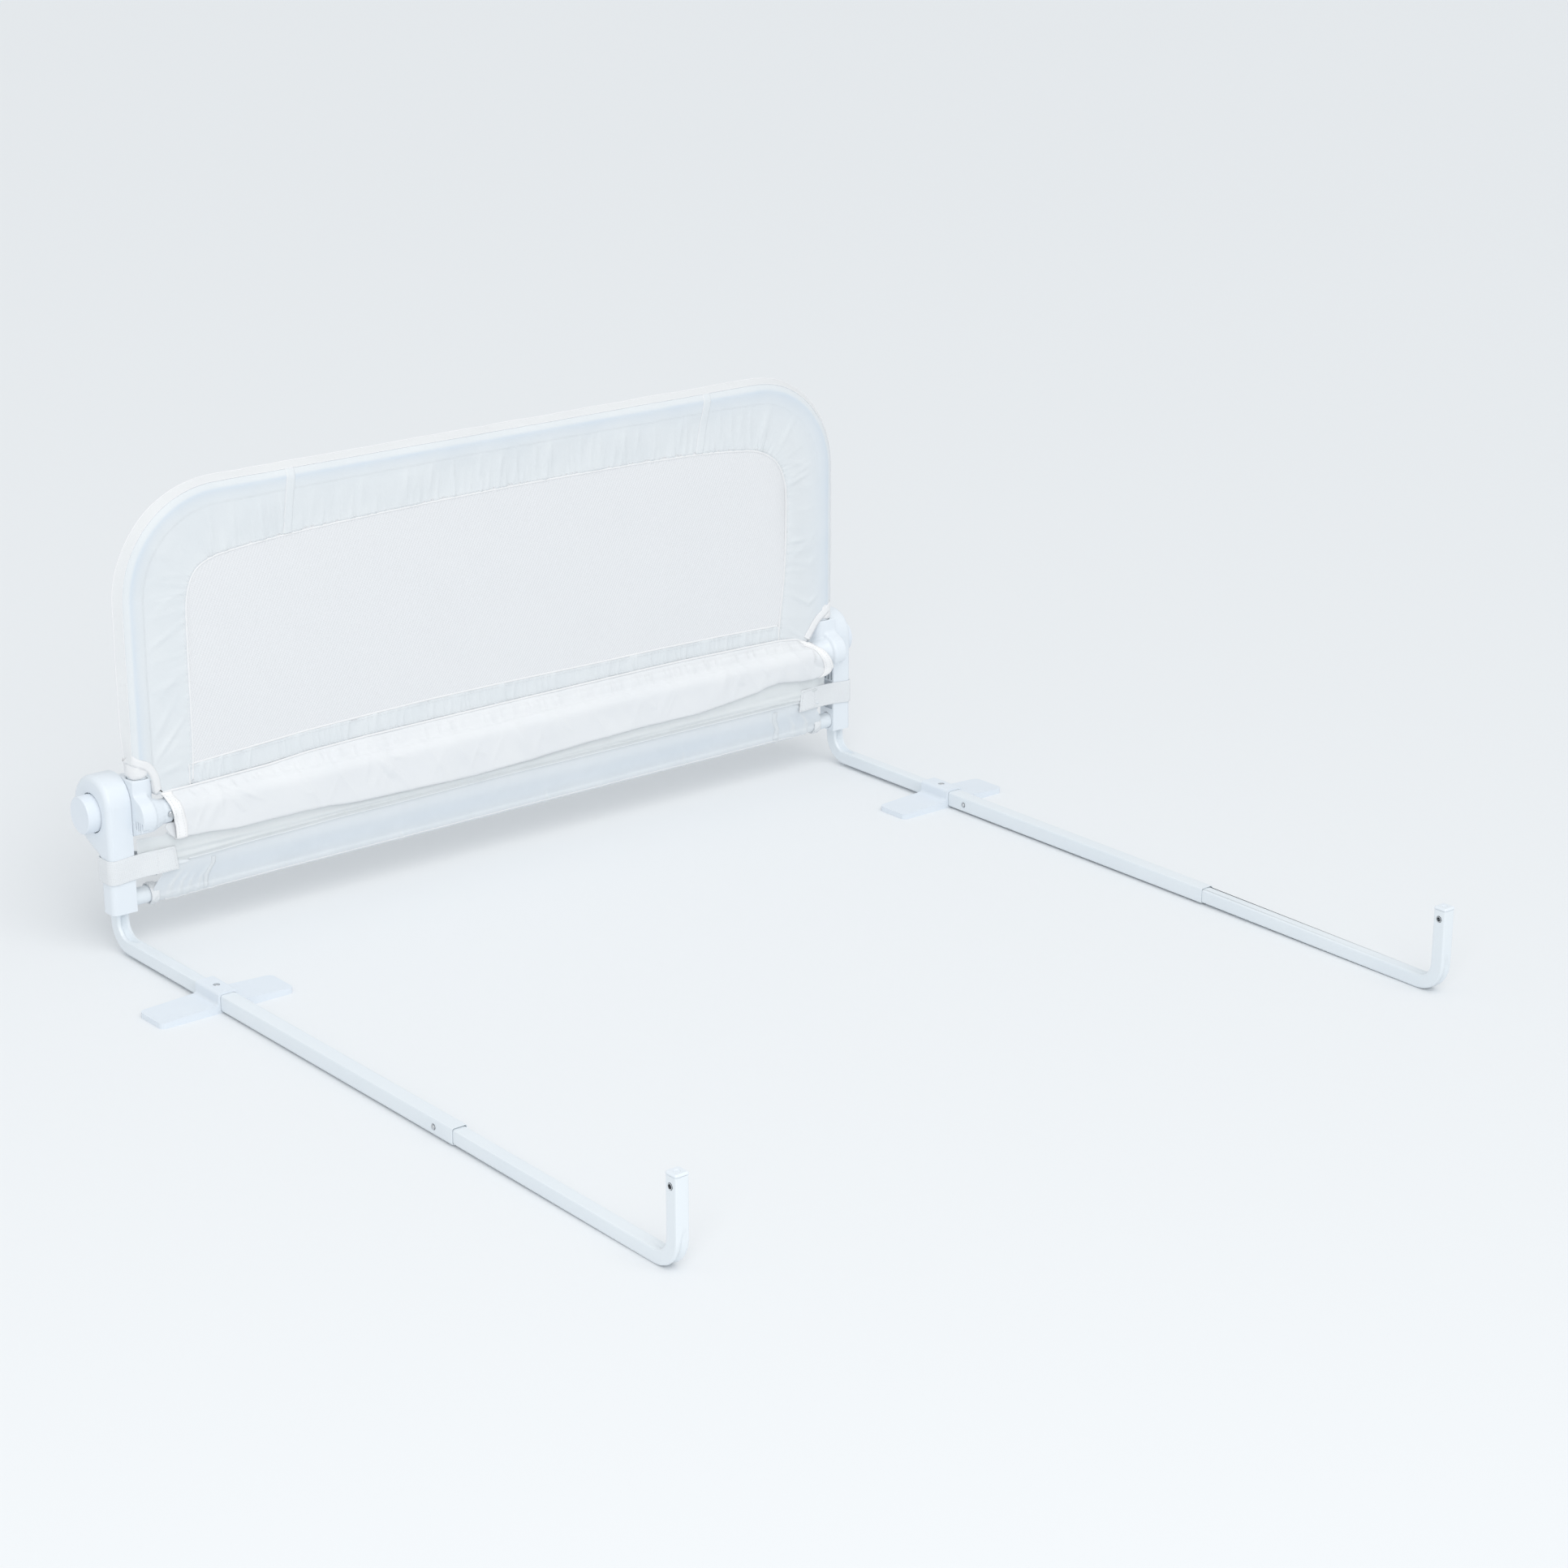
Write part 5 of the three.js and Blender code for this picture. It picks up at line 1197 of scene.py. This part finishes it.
def lower_rows():
    rows, tube_and_shade = [], []
    for column in band_columns:
        middle, tight, ends = skirt_gather(column)
        flat = under_strap(column)
        ridge = ridge_height(column) * (1 - flat) + 95 * flat
        upper = middle * (1 - 0.8 * flat) * 0.6
        lean = middle * 0.6 + tight * 0.8
        gather = np.clip((abs(column) - 462) / 18, 0, 1)
        line = [(y + upper, ridge + z)
                for y, z in ((-6.6, 4.2), (-7.2, 1), (-8.3, -1.4), (-7.2, -3.2))]
        line += [(-5.8 + upper + gather, 87), (-3.1 + lean * 0.7 + gather, 77),
                 (-0.9 + lean * 0.5 + gather, 68.5)]
        for turn in range(171, 490, 12):
            pull = 11.6 - 1.2 * gather + 0.4 * lean * (turn < 250) * (1 - 0.7 * gather)
            line.append(on_circle(LOWER, pull, turn))
        section = through(line, 96)
        in_front = section[:, 0] < LOWER[0]
        crease = creases_at(column, section[:, 1], band_creases) * in_front
        out = section - np.array(LOWER)
        out /= np.linalg.norm(out, axis=1, keepdims=True)
        section = section + out * (crease * (1 - 0.8 * gather))[:, None]
        reach = np.clip(478 + (84 - section[:, 1]) * 0.6, 478, BAND_HALF) / BAND_HALF
        rows.append(np.column_stack([column * reach, section]))
        # Painted shade: the tint is centred above the tube where the band faces down; raised
        # creases get less.
        shown_and_shaded = bell(section[:, 1], 76, 17) * (section[:, 0] < LOWER[0])
        shown_and_shaded *= 0.52 + 0.1 * wander(column, 90, 67)
        tube_and_shade.append(shown_and_shaded * (1 - 0.35 * ends) - crease * 0.3)
    return np.array(rows), np.clip(tube_and_shade, 0, 1)


lower_grid, lower_tube_and_shade = lower_rows()
skirt_lower = skin("skirt_lower_band", lower_grid)
let_tube_show_and_shade(skirt_lower, lower_tube_and_shade)
settle(skirt_lower, lower_voile, "sheer_cloth", "base", "skirt")

# %% [markdown]
# A fine roll of cloth closes the pleat, and another the hem under the lower tube. A vertical tape
# runs down the lower band near each end, and an elastic band grips the tube where the skirt
# stops.

# %% Trimmings of the skirt
pleat_line = []
for x in np.linspace(-446, 446, 330):
    middle, tight, _ = skirt_gather(x)
    pleat_line.append((x, -9.0 + 0.6 * (middle * 0.8 + tight * 0.5), ridge_height(x) - 0.4))
settle(piping("pleat_piping", pleat_line, 0.8), border_cloth, "sheer_cloth", "base")
half_way = lower_grid[260]
lowest = int(np.argmin(np.abs(half_way[:, 2] - LOWER[1] + 6) + 99 * (half_way[:, 1] > LOWER[0])))
hem_of_band = evenly(lower_grid[8:-8, lowest] + [0, -0.1, 0], 3)
settle(piping("skirt_hem_piping", hem_of_band, 0.6), tape_cloth, "sheer_cloth", "base")


def lower_tape(name, x):
    rows = []
    for step in (-3.25, -1.625, 0, 1.625, 3.25):
        index = int(np.argmin(np.abs(band_columns - x - step)))
        rows.append(lower_grid[index, 10:46] - [0, 0.5 if abs(step) < 3.25 else 0.1, 0])
    return skin(name, rows)


for name, x in (("left_skirt_tape", -420), ("right_skirt_tape", 414)):
    settle(thicken(lower_tape(name, x), 0.4), lower_voile, "sheer_cloth", "base")


def elastic_band(name, node):
    low, high = box_in_mm(node)
    columns = np.linspace(low[0], high[0], 9)
    angles = np.linspace(0, 2 * np.pi, 60, endpoint=False)
    radius = (high[2] - low[2]) / 2 - 0.3
    outside = [(x, radius - (0.9 if place in (0, 8) else 0) - 0.25 * (place % 2)
                + 0.3 * np.sin(9 * angles + place)) for place, x in enumerate(columns)]
    inside = [(columns[-1], 10.5), (columns[0], 10.5)]
    rings = [slice_at(x, LOWER[0] + radius * np.cos(angles), LOWER[1] + radius * np.sin(angles))
             for x, radius in outside + inside + outside[:1]]
    return skin(name, rings, closed=True)


for side in ("left", "right"):
    band = elastic_band(f"{side}_elastic_band", f"{side}_skirt_band")
    settle(band, webbing, "webbing", "base", f"{side}_skirt_band")

# %% [markdown]
# The strap holds the skirt to the post. It is hook-and-loop webbing sewn to the skirt's front
# edge, pulled round the outside of the post and pressed onto itself behind. It is swept along the
# route that the CAD strap takes, with rounded edges, and its loose end shows a box of stitches.

# %% Straps round the posts
(POST_IN, _, _), (POST_OUT, _, _) = box_in_mm("right_post")
(STRAP_END, STRAP_FRONT, STRAP_LOW), (_, STRAP_BACK, STRAP_HIGH) = box_in_mm("right_strap")
STRAP_GAP, STRAP_CORNER = 1.5, 8.5


def strap_route(side):
    front_end = STRAP_END + (0 if side < 0 else -15)
    out = POST_OUT + STRAP_GAP - STRAP_CORNER
    back = STRAP_BACK - 1.2
    route = [(front_end, STRAP_FRONT + 1.0), (front_end + 14, STRAP_FRONT + 1.4),
             (POST_IN - 14, -3.5), (POST_IN, -1.75), (POST_IN + 8, -1.5), (out, -STRAP_GAP)]
    for middle, turns in ((STRAP_CORNER - STRAP_GAP, range(-75, 1, 15)),
                          (back - STRAP_CORNER, range(0, 91, 15))):
        route += [on_circle((out, middle), STRAP_CORNER, turn) for turn in turns]
    route += [(POST_IN + 6, back + 0.2), (POST_IN - 2, back - 2.5), (POST_IN - 14, 14),
              (SKIRT_HALF + 2.5, 1.5)]
    return through(route, 130)


def strap_rows(side):
    route = strap_route(side)
    run = directions(route)
    share = np.array([0, 0.02, 0.08, 0.3, 0.5, 0.7, 0.92, 0.98, 1])
    rows = []
    for place, (point, face) in enumerate(zip(route, np.stack([run[:, 1], -run[:, 0]], axis=1))):
        rise = 5.5 * np.clip((POST_OUT - 8 - point[0]) / 60, 0, 1) if place < 60 else 0.0
        rise = rise + 0.5 * wander(place, 26, 71 + (side > 0))
        z = STRAP_LOW + (STRAP_HIGH - STRAP_LOW) * share + rise
        x = point[0] + (share - 0.5) * 4 * np.clip(1 - place / 12, 0, 1)
        bulge = 0.5 * np.sin(np.pi * share) ** 0.5 + 0.25 * wander(place + share * 9, 13, 73)
        outer, inner = (np.stack([side * (x + face[0] * off), point[1] + face[1] * off, z], axis=1)
                        for off in (bulge, np.full(9, -1.4)))
        rows.append(np.concatenate([outer, inner[::-1]]))
    return np.array(rows)


for side, name in ((-1, "left"), (1, "right")):
    grid = strap_rows(side)
    strap = skin(f"{name}_webbing_strap", grid, closed=True, capped=True)
    settle(strap, webbing, "webbing", "base", f"{name}_strap")
    face = grid[:, :9] + [0, -0.35, 0]
    box = np.concatenate([face[2:17, 2], face[17, 2:7], face[17:2:-1, 6], face[2, 6:1:-1]])
    settle(stitches(f"{name}_strap_stitches", box, 3.2, 2.2, 0.4), thread, "webbing", "base")

# %% [markdown]
# Each button has a coil spring behind it and each snap pin a bent leaf. They are hidden in the
# hubs and the arms, but a pressed spring gets shorter, and a rigid one would stab through its
# button. Here each is a plain copy of its solid, which takes the place of the CAD spring.


def pressed_spring(name, node):
    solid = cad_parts[node]
    spring = add_object(name, solid.data.copy())
    spring.data.materials.clear()
    spring.matrix_world = solid.matrix_world.copy()
    settle(spring, steel, "steel", "base", node)
    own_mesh(spring)


for side, sign in (("left", -1), ("right", 1)):
    pressed_spring(f"{side}_button_coil", f"{side}_button_spring")
    for which, fixed_end in (("near", 530.5), ("far", 517.5)):
        pressed_spring(f"{side}_{which}_leaf", f"{side}_{which}_snap_spring")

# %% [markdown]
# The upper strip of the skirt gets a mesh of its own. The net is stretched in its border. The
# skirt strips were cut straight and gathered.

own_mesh(skirt_upper)

# %% [markdown]
# ## The studio
# The rail stands on a seamless pale floor under soft light. A wide soft bank overhead and a large
# area light to the left give the gentle shadow under the skirt, and the bright world fills the
# rest.

# %% Floor and light
floor_mesh = bpy.data.meshes.new("studio_floor")
floor_mesh.from_pydata([(-40, -40, 0), (40, -40, 0), (40, 40, 0), (-40, 40, 0)], [], [(0, 1, 2, 3)])
floor = add_object("studio_floor", floor_mesh)
paper = Finish("studio_paper", Roughness=0.9, Specular_IOR_Level=0.1)
paper_tone = paper.cloud(paper.place(), 3.0, 2)
paper.feed("Base Color", paper.mixed(paper_tone, (0.84, 0.86, 0.88), (0.85, 0.87, 0.89)))
floor.data.materials.append(paper.material)

world = bpy.data.worlds.new("studio_world")
world.use_nodes = True
backdrop = world.node_tree.nodes["Background"].inputs
backdrop["Color"].default_value = (0.955, 0.982, 1.0, 1)
backdrop["Strength"].default_value = 0.755
bpy.context.scene.world = world
bpy.context.scene.view_settings.view_transform = "Standard"


def lamp(name, kind, place, target, power, **settings):
    light = bpy.data.lights.new(name, kind)
    for setting, value in {"energy": power, "color": (1.0, 0.985, 0.965), **settings}.items():
        setattr(light, setting, value)
    holder = add_object(name, light)
    holder.location = place
    holder.rotation_euler = (Vector(target) - Vector(place)).to_track_quat("-Z", "Y").to_euler()
    print(name, "at", place)


lamp("overhead_bank", "SUN", (-0.15, -1.9, 3.3), (0, 0, 0), 0.72, angle=math.radians(44))
lamp("window_light", "AREA", (-2.5, -3.4, 2.4), (-0.3, -0.1, 0.3), 46,
     shape="RECTANGLE", size=3.0, size_y=2.0)
